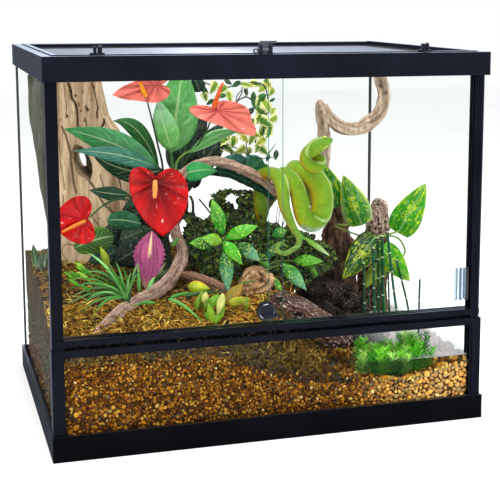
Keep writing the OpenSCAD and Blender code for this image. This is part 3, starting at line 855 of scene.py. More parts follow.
def moss():
    g = rng(5)
    xs = np.linspace(-295.6, 92, 90)
    ys = np.linspace(-210.4, 219, 100)
    X, Y = np.meshgrid(xs, ys, indexing="ij")
    H = moss_z(X, Y) + 7 * fbm(X, Y, 0.02, 4) + 1.5 * fbm(X, Y, 0.11, 9, 2)
    H = np.minimum(H, moss_z(X, Y) + 9)
    edge = np.clip((Y + 210.4) / 30, 0, 1)
    H = H * edge + (moss_z(X, Y) - 2 + 3 * fbm(X, Y, 0.03, 2, 3)) * (1 - edge)
    near = np.clip((-95 - Y) / 50, 0, 1)
    H = H * (1 - near) + np.minimum(H, np.interp(X, [22, 50, 80, 92], [215, 128, 92, 80]) + 3 * fbm(X, Y, 0.05, 6, 2)) * near
    nx, ny = X.shape
    V = np.stack([X, Y, H], -1).reshape(-1, 3)
    a = (np.arange(nx - 1)[:, None] * ny + np.arange(ny - 1)[None]).ravel()
    F = np.stack([a, a + ny, a + ny + 1, a + 1], 1)
    acc = Acc()
    acc.add(V, F, None, S(90, 66, 34))
    # walls down into the gravel
    loop = [i * ny for i in range(nx)] + [(nx - 1) * ny + j for j in range(1, ny)] + [i * ny + ny - 1 for i in range(nx - 2, -1, -1)] + [j for j in range(ny - 2, 0, -1)]
    top = V[loop]
    low = top.copy()
    low[:, 2] = np.minimum(bed_z(top[:, 0]) - 8, top[:, 2] - 1)
    m = len(loop)
    W = np.concatenate([top, low])
    i = np.arange(m)
    j = (i + 1) % m
    acc.add(W, np.stack([i, i + m, j + m, j], 1), None, S(90, 66, 34))
    acc.add(low[::-1], [tuple(range(m))], None, S(90, 66, 34))
    acc.build("moss_ground", M_SOIL, replaces=("moss_mound",), slot="moss")

    def top_at(x, y):
        fx = (x - xs[0]) / (xs[1] - xs[0])
        fy = (y - ys[0]) / (ys[1] - ys[0])
        i = np.clip(fx.astype(int), 0, nx - 2)
        j = np.clip(fy.astype(int), 0, ny - 2)
        u, v = fx - i, fy - j
        return H[i, j] * (1 - u) * (1 - v) + H[i + 1, j] * u * (1 - v) + H[i, j + 1] * (1 - u) * v + H[i + 1, j + 1] * u * v

    def tufts(n, x0, x1, y0, y1, length, rad, rise, name, bias=None, mul=1.0):
        x, y = g.uniform(x0, x1, n), g.uniform(y0, y1, n)
        if bias is not None:
            y = y0 + (y1 - y0) * g.random(n) ** bias
        keep = (x < 12) | ((y > -94) & (x < 62))
        x, y = x[keep], y[keep]
        n = len(x)
        k = 6
        P = np.zeros((n, k, 3))
        th = g.uniform(0, 2 * math.pi, n)
        el = g.uniform(0.1, rise, n)
        turn = g.normal(0, 0.95, size=(n, k))
        L = g.uniform(*length, n) / k
        p = np.stack([x, y, top_at(x, y) - 1.0], 1)
        for s in range(k):
            P[:, s] = p
            th = th + turn[:, s]
            el = el - g.uniform(0.0, 0.6, n)
            p = p + np.stack([np.cos(th) * np.cos(el), np.sin(th) * np.cos(el), np.sin(el)], 1) * L[:, None]
            p[:, 0] = np.clip(p[:, 0], -295, 100)
            p[:, 1] = np.clip(p[:, 1], -214, 218.5)
            t = top_at(np.clip(p[:, 0], xs[0], xs[-1]), np.clip(p[:, 1], ys[0], ys[-1]))
            p[:, 2] = np.maximum(p[:, 2], t + 0.3)
        acc = Acc()
        R = g.uniform(*rad, n)[:, None] * np.array([1, 1, 0.95, 0.85, 0.7, 0.3])[None]
        strands(acc, P, R, moss_col(g, n, mul))
        acc.build(name, M_MOSS, replaces=("moss_mound",), slot="moss")

    tufts(5600, -294, 60, -209.5, -70, (14, 32), (0.7, 1.45), 1.5, "moss_tufts_front", 1.25)
    tufts(2800, -294, 75, -70, 217, (12, 26), (0.7, 1.3), 1.3, "moss_tufts_back", None, 0.6)
    # strands pressed against the front pane above the gravel
    n = 2600
    x = g.uniform(-292, 66, n)
    lo = bed_z(x) - 2
    hi = np.maximum(np.minimum(moss_z(x, np.full(n, -214.0)) + 2, np.interp(x, [22, 50, 80], [215, 126, 90])), lo + 2)
    z = lo + (hi - lo) * g.random(n)
    k = 5
    P = np.zeros((n, k, 3))
    th = g.uniform(0, 2 * math.pi, n)
    p = np.stack([x, g.uniform(-214.3, -211.0, n), z], 1)
    for s in range(k):
        P[:, s] = p
        th = th + g.normal(0, 0.7, n)
        p = p + np.stack([np.cos(th), np.zeros(n), np.sin(th)], 1) * g.uniform(2, 5, n)[:, None]
        p[:, 0] = np.clip(p[:, 0], -294, 80)
        p[:, 1] = np.clip(p[:, 1] + g.normal(0, 0.3, n), -214.4, -210.6)
    acc = Acc()
    dim = (0.24 + 0.55 * np.clip((z - hi + 20) / 18, 0, 1) + 0.25 * (g.random(n) < 0.12))[:, None]
    cc = moss_col(g, n, 1.0) * dim
    gr = g.random(n) < 0.45 * (x < 10)
    cc[gr] = np.array(S(88, 82, 62)) * g.uniform(0.4, 1.2, (int(gr.sum()), 1))
    strands(acc, P, g.uniform(0.5, 0.95, n)[:, None] * np.array([1, 1, 0.9, 0.8, 0.4])[None], cc)
    acc.build("moss_front_edge", M_MOSS, replaces=("moss_mound",), slot="moss")
    return top_at


ground = moss()


def m_water():
    g = Mat("water")
    geo = g.node("NewGeometry")
    front = g.math("SUBTRACT", 1.0, geo.outputs["Backfacing"])
    o = g.coord()
    rip = g.noise(o, 60, 4, 0.6, 0.6)
    fine = g.noise(o, 420, 3, 0.6)
    b = g.bump(rip, 0.0012, 0.35)
    b = g.bump(fine, 0.00025, 0.35, b)
    fr = g.node("Fresnel")
    fr.inputs["IOR"].default_value = 1.33
    g.put(fr.inputs["Normal"], b)
    nzc = g.xyz(g.node("TexCoord").outputs["Normal"])[2]
    up = g.step(nzc, 0.5, 0.8)
    fac = g.math("MULTIPLY", fr.outputs[0], g.math("MULTIPLY_ADD", up, 1.5, 0.1))
    fac = g.math("MULTIPLY", fac, front, clamp=True)
    tr = g.node("BsdfTransparent")
    g.put(tr.inputs[0], g.mix(g.step(rip, 0.3, 0.7), (0.86, 0.93, 0.9), (0.9, 0.95, 0.92)))
    gl = g.node("BsdfGlossy")
    g.put(gl.inputs["Color"], (0.9, 0.9, 0.95))
    gl.inputs["Roughness"].default_value = 0.08
    g.put(gl.inputs["Normal"], b)
    # painted reflection: a grey-blue matte layer on the right of the water top stands in for the pale surroundings
    # mirrored in it
    painted_reflection = g.node("BsdfDiffuse")
    g.put(painted_reflection.inputs[0], g.mix(g.step(fine, 0.4, 0.65), (0.42, 0.41, 0.46), (0.72, 0.71, 0.76)))
    base = g.blend(fac, tr.outputs[0], gl.outputs[0])
    reflection_veil = g.math("MULTIPLY", g.math("MULTIPLY", up, g.step(g.xyz(o)[0], 0.15, 0.25)), 0.42)
    return g.finish(g.blend(reflection_veil, base, painted_reflection.outputs[0]))


def water():
    xs = np.linspace(80, 295.8, 70)
    ys = np.linspace(-214.8, 219.2, 120)
    X, Y = np.meshgrid(xs, ys, indexing="ij")
    Z = 91.7 + 0.25 * fbm(X, Y, 0.05, 3, 3)
    nx, ny = X.shape
    V = np.stack([X, Y, Z], -1).reshape(-1, 3)
    a = (np.arange(nx - 1)[:, None] * ny + np.arange(ny - 1)[None]).ravel()
    acc = Acc()
    acc.add(V, np.stack([a, a + ny, a + ny + 1, a + 1], 1))
    loop = [i * ny for i in range(nx)] + [(nx - 1) * ny + j for j in range(1, ny)] + [i * ny + ny - 1 for i in range(nx - 2, -1, -1)] + [j for j in range(ny - 2, 0, -1)]
    top = V[loop]
    low = top.copy()
    low[:, 2] = bed_z(top[:, 0]) - 5
    m = len(loop)
    i = np.arange(m)
    j = (i + 1) % m
    acc.add(np.concatenate([top, low]), np.stack([i, i + m, j + m, j], 1))
    bot = V.copy()
    bot[:, 2] = bed_z(V[:, 0]) - 5
    acc.add(bot, np.stack([a, a + 1, a + ny + 1, a + ny], 1))
    acc.build("pond_surface", m_water(), replaces=("pond_water",), slot="water")


water()


# ------------------------------------------------------------------ wood and stone
def vn(P, s, seed=0.0, octv=3):
    """Layered noise at points P (mm); s may be one scale or three."""
    s = np.broadcast_to(np.asarray(s, float), (3,))
    Q = np.asarray(P, float) * s + np.array([seed, seed * 1.3, -seed])
    o = np.zeros(len(Q))
    a = 1.0
    for _ in range(octv):
        o += a * np.array([noise.noise(Vector(q)) for q in Q])
        a *= 0.5
        Q = Q * 2.13 + 3.1
    return o


def line_dist(X, Z, pl):
    d = np.full(X.shape, 1e9)
    for (x0, z0), (x1, z1) in zip(pl[:-1], pl[1:]):
        ax, az = x1 - x0, z1 - z0
        t = np.clip(((X - x0) * ax + (Z - z0) * az) / (ax * ax + az * az + 1e-9), 0, 1)
        d = np.minimum(d, np.hypot(X - x0 - t * ax, Z - z0 - t * az))
    return d


def loft(acc, Z, XL, XR, y0, y1, nf, ns, rows, rnd, disp, xf, col, endr=4.0, hole=None):
    """Rough block: rows of rounded rectangles between XL and XR at heights Z, displaced by disp."""
    zs = np.linspace(Z[0], Z[-1], rows)
    u = np.concatenate([np.linspace(-1, 1, nf), np.full(ns, 1.0), np.linspace(1, -1, nf), np.full(ns, -1.0)])
    q = np.linspace(-1, 1, ns + 2)[1:-1]
    v = np.concatenate([np.full(nf, -1.0), q, np.full(nf, 1.0), -q])
    n = len(u)
    uu = u * np.sqrt(1 - v * v * 0.5 * rnd)
    vv = v * np.sqrt(1 - u * u * 0.5 * rnd)
    xl, xr = np.interp(zs, Z, XL), np.interp(zs, Z, XR)
    d = np.minimum(zs - zs[0], zs[-1] - zs)
    e = np.where(d < endr, endr - np.sqrt(np.maximum(endr ** 2 - (endr - d) ** 2, 0)), 0)
    hx = np.maximum((xr - xl) / 2 - e, 0.5)
    hy = np.maximum((y1 - y0) / 2 - e, 0.5)
    X = ((xl + xr) / 2)[:, None] + hx[:, None] * uu[None]
    Y = np.full(rows, (y0 + y1) / 2)[:, None] + hy[:, None] * vv[None]
    P = np.stack([X, Y, np.repeat(zs[:, None], n, 1)], -1)
    nx, ny = uu[None] / hx[:, None], vv[None] / hy[:, None]
    L = np.hypot(nx, ny) + 1e-9
    Nn = np.stack([nx / L, ny / L, np.zeros_like(nx)], -1)
    front = np.repeat(((np.arange(n) < nf))[None], rows, 0)
    back = np.repeat(((np.arange(n) >= nf + ns) & (np.arange(n) < 2 * nf + ns))[None], rows, 0)
    off, shade = disp(P.reshape(-1, 3), Nn.reshape(-1, 3), front.ravel(), back.ravel())
    V = P.reshape(-1, 3) + Nn.reshape(-1, 3) * off[:, None]
    C = np.asarray(col, float)[None] * (shade if shade.ndim == 2 else shade[:, None])
    i, j = np.meshgrid(np.arange(rows - 1), np.arange(n), indexing="ij")
    keep = np.ones(i.shape, bool)
    if hole is not None:
        cx = (P[:-1, :nf - 1, 0] + P[1:, 1:nf, 0]) / 2
        cz = (P[:-1, :nf - 1, 2] + P[1:, 1:nf, 2]) / 2
        mk = hole(cx, cz)
        keep[:, :nf - 1] = ~mk
        keep[:, nf + ns:2 * nf + ns - 1] = ~mk[:, ::-1]
    a = (i * n + j)[keep]
    b = (i * n + (j + 1) % n)[keep]
    acc.add(xf(V), np.stack([a, b, b + n, a + n], 1), np.stack([np.tile(np.arange(n) / n, rows), np.repeat(zs, n)], 1), np.clip(C, 0, 1))
    base = acc.n - len(V)
    if hole is not None:
        def bk(c):
            return nf + ns + (nf - 1 - c)
        F = []
        R, Cc = mk.shape
        for r in range(R):
            for c in range(Cc):
                if not mk[r, c]:
                    continue
                if r == 0 or not mk[r - 1, c]:
                    F.append((r * n + c, r * n + c + 1, r * n + bk(c + 1), r * n + bk(c)))
                if r == R - 1 or not mk[r + 1, c]:
                    F.append(((r + 1) * n + c + 1, (r + 1) * n + c, (r + 1) * n + bk(c), (r + 1) * n + bk(c + 1)))
                if c == 0 or not mk[r, c - 1]:
                    F.append(((r + 1) * n + c, r * n + c, r * n + bk(c), (r + 1) * n + bk(c)))
                if c == Cc - 1 or not mk[r, c + 1]:
                    F.append((r * n + c + 1, (r + 1) * n + c + 1, (r + 1) * n + bk(c + 1), r * n + bk(c + 1)))
        acc.f.append(np.array(F) + base)
    for r, s in ((0, 1), (rows - 1, -1)):
        ring = V[r * n:(r + 1) * n]
        W = np.r_[ring, [ring.mean(0)]]
        k = np.arange(n)
        F = np.stack([np.full(n, n), (k + 1) % n, k], 1) if s > 0 else np.stack([np.full(n, n), k, (k + 1) % n], 1)
        acc.add(xf(W), F, None, C[r * n:r * n + n + 1].mean(0))


def m_wood(name, lo, hi, dark, gs=(90, 90, 9), fs=(420, 420, 60), rough=0.8, bump=0.0012):
    g = Mat(name)
    a = g.noise(g.coord(scale=gs), 1.0, 5, 0.6, 0.4)
    b = g.noise(g.coord(scale=fs), 1.0, 4, 0.65)
    c = g.mix(g.step(a, 0.3, 0.7), lo, hi)
    c = g.mix(g.math("MULTIPLY", g.step(b, 0.55, 0.75), 0.7), c, dark)
    spots = g.noise(g.coord(), 160, 3, 0.6)
    c = g.mix(g.math("MULTIPLY", g.step(spots, 0.62, 0.75), 0.6), c, dark)
    c = g.mix(1.0, c, g.col(), "MULTIPLY")
    h = g.math("ADD", a, g.math("MULTIPLY", b, 0.6))
    g.bsdf(c, rough, spec=0.1, normal=g.bump(h, bump, 0.9))
    return g.m


TH = math.radians(-26)
CT, ST = math.cos(TH), math.sin(TH)
SU = np.array([CT, ST, 0.0])
SV = np.array([-ST, CT, 0.0])
SP = np.array([-277.0, 190.0, 0.0])


def slab_xf(V):
    V = np.asarray(V, float)
    return SP + V[:, :1] * SU + V[:, 1:2] * SV + V[:, 2:3] * np.array([0, 0, 1.0])


def slab_px(u, v):
    """Photo pixel to (X, Z) on the front face of the driftwood slab."""
    p0 = SP - 40 * SV
    d = ray(u, v)
    t = np.dot(p0 - EYE, SV) / np.dot(d, SV)
    p = EYE + d * t
    return float(np.dot(p - SP, SU)), float(p[2])


def driftwood():
    cracks = [([(68.3, 84), (72.5, 100), (76, 105), (78, 127)], 1.5, 9), ([(62, 127), (67.6, 143), (71, 165), (74, 186), (76, 193)], 1.1, 6),
              ([(102, 92), (105, 113), (103, 124), (99, 131)], 1.4, 7), ([(78, 168), (92, 186), (103, 204), (113, 214)], 1.3, 7),
              ([(63, 84), (66, 104), (66, 118)], 0.6, 3), ([(92, 84), (95, 96), (98, 108), (97, 118)], 0.9, 3.5), ([(97, 90), (100, 100)], 0.8, 3),
              ([(100, 175), (106, 196), (116, 226)], 0.8, 3), ([(118, 150), (120, 185), (128, 215)], 0.8, 3), ([(62, 196), (66, 215), (65, 232)], 0.8, 3),
              ([(84, 196), (90, 214), (103, 232)], 0.7, 2.5), ([(58, 140), (61, 165), (64, 190)], 0.6, 2), ([(85, 118), (88, 132), (92, 142)], 0.7, 2.5)]
    cracks = [([slab_px(*p) for p in pl], w, d) for pl, w, d in cracks]
    pits = [(75.3, 96, 1.5, 5), (87, 110, 2.2, 6), (86, 107, 1.4, 4), (67, 116, 1.6, 5), (78.5, 104, 1.1, 4), (79.5, 106, 1.0, 4), (81, 111, 1.2, 4), (94, 88, 1.2, 4),
            (83, 92, 0.9, 3), (90, 100, 0.8, 3), (64, 108, 0.9, 3), (60, 120, 1.0, 3), (84, 121, 1.0, 3), (72, 112, 0.8, 3), (90, 126, 1.0, 3), (69, 92, 0.9, 3)]
    pits = [slab_px(u, v) + (r, d) for u, v, r, d in pits]
    hc = slab_px(81.5, 163)
    hh = slab_px(75.5, 160.5)
    ta = math.radians(-20)

    def pit(X, Z):
        x, z = X - hc[0], Z - hc[1]
        a, b = x * math.cos(ta) - z * math.sin(ta), x * math.sin(ta) + z * math.cos(ta)
        return np.sqrt((a / 14.0) ** 2 + (b / 30.0) ** 2)

    def disp(P, Nn, front, back):
        g1 = vn(P, (0.11, 0.11, 0.011), 3, 2)
        g2 = vn(P, (0.5, 0.5, 0.035), 8, 2)
        g3 = vn(P, 0.02, 5, 2)
        off = -1.8 + 1.3 * g1 + 0.55 * g2 + 2.2 * g3
        # painted light and shade: colour follows the relief, raised grain lighter and low grain darker
        shade = 1.0 + 0.22 * g1 + 0.16 * g2
        X, Z = P[:, 0], P[:, 2]
        wob = 1.6 * vn(P, 0.06, 21, 2)
        # painted shade: cracks, pits and the hollow are darkened where they sink in
        for pl, w, d in cracks:
            e = np.exp(-(line_dist(X + wob, Z, pl) / w) ** 2)
            off -= np.where(front, d * e, 0)
            shade *= np.where(front, 1 - 0.82 * e, 1)
        for x, z, r, d in pits:
            e = np.exp(-(np.hypot(X - x, (Z - z) * 0.8) / r) ** 2)
            off -= np.where(front, d * e, 0)
            shade *= np.where(front, 1 - 0.85 * e, 1)
        q = pit(X + wob, Z)
        k = np.clip((1 - q) * 3.0, 0, 1)
        off -= np.where(front, 29 * k, 0)
        shade *= np.where(front, 1 - 0.86 * k, 1)
        # darker towards the lower right end and edge
        low = np.clip((235 - Z) / 45, 0, 1) * np.clip((X - 95) / 50, 0, 1)
        shade *= 1 - 0.6 * low * np.clip(0.6 + vn(P, 0.05, 2, 2), 0, 1)
        # painted shade: a grey-blue tone where the slab is seen through the left pane, standing in for that pane
        # dimming it
        kk = np.clip((54 + 2 * wob - X) / 10, 0, 1)[:, None]
        tone = (1 - kk) * np.array([[1.0, 0.97, 0.98]]) + kk * np.array([[0.2, 0.28, 0.36]]) * (0.8 + 0.3 * vn(P, 0.03, 61, 3)[:, None])
        return np.minimum(off, 0.2), np.clip(shade, 0.05, 1.35)[:, None] * tone

    Z = [182, 227, 311, 347, 398, 407, 418, 478, 490]
    XL = [36, 29, 14, 10, 3, 2, 1.8, 0, 10]
    XR = [176, 182, 170, 165, 142, 135, 127, 114, 112]
    acc = Acc()
    loft(acc, Z, XL, XR, -40, 0, 190, 22, 300, 0.28, disp, slab_xf, (1, 1, 1), 4,
         hole=lambda x, z: ((x - hh[0]) / 6.3) ** 2 + ((z - hh[1] - (x - hh[0]) * -0.9) / 12.0) ** 2 < 1)
    g = m_wood("driftwood_grain", S(142, 116, 86), S(208, 182, 148), S(78, 54, 36), (70, 70, 7), (330, 330, 40), 0.85, 0.0009)
    acc.build("driftwood_slab_wood", g, replaces=("driftwood_slab",), slot="driftwood")
    return g


M_DRIFT = driftwood()


def rod(acc, path, col, n=26, wob=0.1, wscale=0.05, ridges=0.12, nr=5, seed=0, k=7, dark=0.7, knots=()):
    """Branch along given points [x, y, z, r] with lengthwise ridges whose hollows are darker."""
    q = cr(path, k)
    p, rad = q[:, :3], np.maximum(q[:, 3], 0.3)
    m = len(p)
    t, A, B = frames(p)
    ang = np.arange(n) * 2 * math.pi / n
    e = np.cos(ang)[None, :, None] * A[:, None, :] + np.sin(ang)[None, :, None] * B[:, None, :]
    d = np.r_[0, np.cumsum(np.linalg.norm(np.diff(p, axis=0), axis=1))]
    Q = (p[:, None, :] + e * rad[:, None, None]).reshape(-1, 3)
    w = wob * vn(Q, wscale, seed, 3)
    tw = 0.8 * np.array([noise.noise(Vector((x * 0.014, seed, 0.5))) for x in d])
    a = ang[None] + tw[:, None]
    rg = 0.6 * np.sin(nr * a + d[:, None] * 0.01) + 0.4 * np.sin((2 * nr + 1) * a - d[:, None] * 0.018 + seed)
    fine = vn(np.stack([np.cos(a).ravel() * 3.2, np.sin(a).ravel() * 3.2, np.repeat(d, n) * 0.045], 1), 1.0, seed + 4, 3)
    h = w.reshape(m, n) + ridges * rg * 0.6 + ridges * 0.9 * fine.reshape(m, n)
    R = rad[:, None] * (1 + h)
    V = p[:, None, :] + e * R[:, :, None]
    # painted shade: the hollows between the ridges are darkened, the ridge tops lightened
    sh = np.clip(0.78 + (ridges * rg * 0.6 + ridges * 0.9 * fine.reshape(m, n)) / max(ridges, 0.02) * 0.55 * dark, 0.18, 1.35)
    # knots are pressed in and painted darker as shade in the dent
    for kx, ks in knots:
        i = int(np.clip(kx * m, 0, m - 1))
        c = V[i, ks % n]
        dd = np.linalg.norm(V - c, axis=2)
        sh = sh * (1 - 0.8 * np.exp(-(dd / 2.6) ** 2))
        V = V - e * (2.2 * np.exp(-(dd / 2.6) ** 2))[:, :, None]
    C = np.asarray(col, float)
    C = (np.tile(C, (m, n, 1)) if C.ndim == 1 else np.repeat(C[:, None, :], n, 1)) * sh[:, :, None]
    i, j = np.meshgrid(np.arange(m - 1), np.arange(n), indexing="ij")
    a0 = (i * n + j).ravel()
    b0 = (i * n + (j + 1) % n).ravel()
    U = np.stack([np.tile(ang / (2 * math.pi), m), np.repeat(d, n)], 1)
    acc.add(V.reshape(-1, 3), np.stack([a0, b0, b0 + n, a0 + n], 1), U, np.clip(C, 0, 1).reshape(-1, 3))
    for r, s in ((0, -1), (m - 1, 1)):
        W = np.r_[V[r], [p[r] + t[r] * rad[r] * 0.35 * s]]
        kk = np.arange(n)
        F = np.stack([np.full(n, n), (kk + 1) % n, kk], 1) if s < 0 else np.stack([np.full(n, n), kk, (kk + 1) % n], 1)
        acc.add(W, F, None, np.clip(np.r_[C[r], [C[r].mean(0)]], 0, 1))
    return V


def fine_path(path, k=5, amp=0.0, seed=0):
    q = cr(path, k)
    return q


CLIMB = [[-236, -165, 156, 8], [-205, -125, 163, 9], [-160, -80, 170, 9], [-122, -45, 180, 9], [-92, -20, 198, 8.5], [-82, -8, 222, 8], [-92, 0, 250, 8],
         [-96, 4, 285, 7], [-86, 4, 328, 7], [-66, 4, 348, 7], [-32, 2, 356, 7], [6, 0, 345, 7], [40, -2, 326, 6.5], [64, -4, 304, 6]]

TRUNK = [[190, 60, 66, 23], [190, 60, 93, 23.5], [187, 60, 138, 23.5], [184, 60, 177, 23], [184, 58, 210, 21], [185, 56, 240, 17], [179, 54, 263, 13.5], [168, 52, 288, 10]]
STICK = [[171, 52.5, 282, 9], [166, 51, 292, 10], [159, 50, 313, 10.3], [155, 48, 341, 9.8], [156, 47, 366, 9.8], [155, 46, 390, 9.7], [152, 45, 415, 9.2], [148, 44, 434, 6.4], [147, 44, 441, 2.6]]
ARM = [[151, 44, 430, 8.6], [164, 42, 411, 9.7], [178, 40, 399, 9.9], [193, 40, 394, 10.1], [214, 40, 395, 10.3], [232, 40, 405, 10.5], [245, 40, 418, 10.3], [251, 40, 434, 10], [252, 40, 450, 9.7], [248, 40, 470, 9.5], [241, 40, 499, 9.1]]


def branches():
    bark = m_wood("branch_bark", S(160, 122, 104), S(214, 184, 164), S(84, 54, 42), (240, 240, 240), (620, 620, 620), 0.8, 0.0011)
    acc = Acc()
    q = [list(x) for x in CLIMB]
    low = [[-246, -196, 146, 6.5], [-232, -165, 154, 7.5], [-204, -125, 164, 8.5], [-160, -80, 172, 9], [-122, -45, 182, 9.5], [-96, -22, 200, 9.5], [-84, -8, 224, 8]] + q[6:]
    rod(acc, low, (1, 1, 1), 44, 0.16, 0.06, 0.2, 3, 2, 12, 0.8, ((0.2, 3), (0.32, 30), (0.6, 9), (0.75, 20)))
    # second lobe of the lower limb
    rod(acc, [[-236, -158, 150, 4.5], [-200, -118, 158, 5.5], [-158, -76, 164, 5.5], [-120, -42, 173, 5.5], [-98, -26, 188, 4.5]], (0.86, 0.84, 0.8), 28, 0.12, 0.07, 0.2, 3, 12, 12, 0.8)
    # flat limb lying to the right
    rod(acc, [[-92, -22, 192, 6], [-70, -34, 188, 8], [-50, -44, 180, 8.5], [-28, -52, 168, 8], [-8, -58, 158, 6]], (0.5, 0.4, 0.34), 26, 0.12, 0.05, 0.18, 3, 22, 10, 0.8)
    acc.build("climbing_branch_wood", bark, replaces=("climbing_branch",), slot="branch_bark")
    acc = Acc()
    rod(acc, [[-98, 6, 262, 4], [-90, 8, 312, 5], [-70, 8, 334, 5.5], [-34, 6, 340, 5.5], [4, 4, 330, 5.5], [38, 2, 311, 5], [60, 0, 296, 4]], S(24, 62, 44), 20, 0.25, 0.09, 0.16, 4, 32, 9, 0.8)
    g = Mat("mossy_underside")
    n1 = g.noise(g.coord(scale=(1, 1, 1)), 240, 4, 0.7)
    c = g.mix(g.step(n1, 0.35, 0.65), g.mix(1.0, g.col(), (0.35, 0.4, 0.4), "MULTIPLY"), g.mix(1.0, g.col(), (1.7, 1.6, 1.5), "MULTIPLY"))
    g.bsdf(c, 0.7, spec=0.1, normal=g.bump(n1, 0.0015, 0.8))
    acc.build("climbing_branch_moss", g.m, replaces=("climbing_branch",), slot="branch_bark")
    # forked branch: brown trunk, pale stick and the curled arm
    tan = m_wood("weathered_branch", S(142, 122, 104), S(208, 190, 172), S(76, 56, 42), (150, 150, 30), (500, 500, 160), 0.75, 0.0009)
    acc = Acc()
    brown = np.array(S(150, 126, 112))
    rod(acc, TRUNK, brown * 1.15, 64, 0.5, 0.05, 0.2, 7, 41, 12, 1.0, ((0.3, 20), (0.45, 40), (0.6, 30), (0.5, 50), (0.7, 44)))
    rod(acc, [[176, 30, 70, 13], [186, 32, 110, 15], [192, 34, 150, 14], [196, 38, 185, 12], [190, 44, 215, 9]], brown * 0.62, 44, 0.4, 0.07, 0.22, 5, 42, 10, 1.0, ((0.4, 10), (0.6, 20)))
    rod(acc, [[160, 40, 70, 12], [164, 38, 105, 14], [170, 40, 140, 13], [176, 44, 172, 10]], brown * 0.42, 44, 0.42, 0.07, 0.22, 5, 45, 10, 1.0, ((0.5, 10),))
    rod(acc, STICK, (1.0, 0.93, 0.88), 40, 0.12, 0.07, 0.16, 4, 44, 12, 0.8, ((0.55, 8), (0.5, 12), (0.7, 30), (0.35, 35)))
    rod(acc, ARM, (0.95, 0.88, 0.8), 44, 0.08, 0.05, 0.24, 3, 47, 12, 1.0, ((0.86, 6), (0.8, 12)))
    acc.build("forked_branch_wood", tan, replaces=("forked_branch",), slot="branch_bark")


branches()


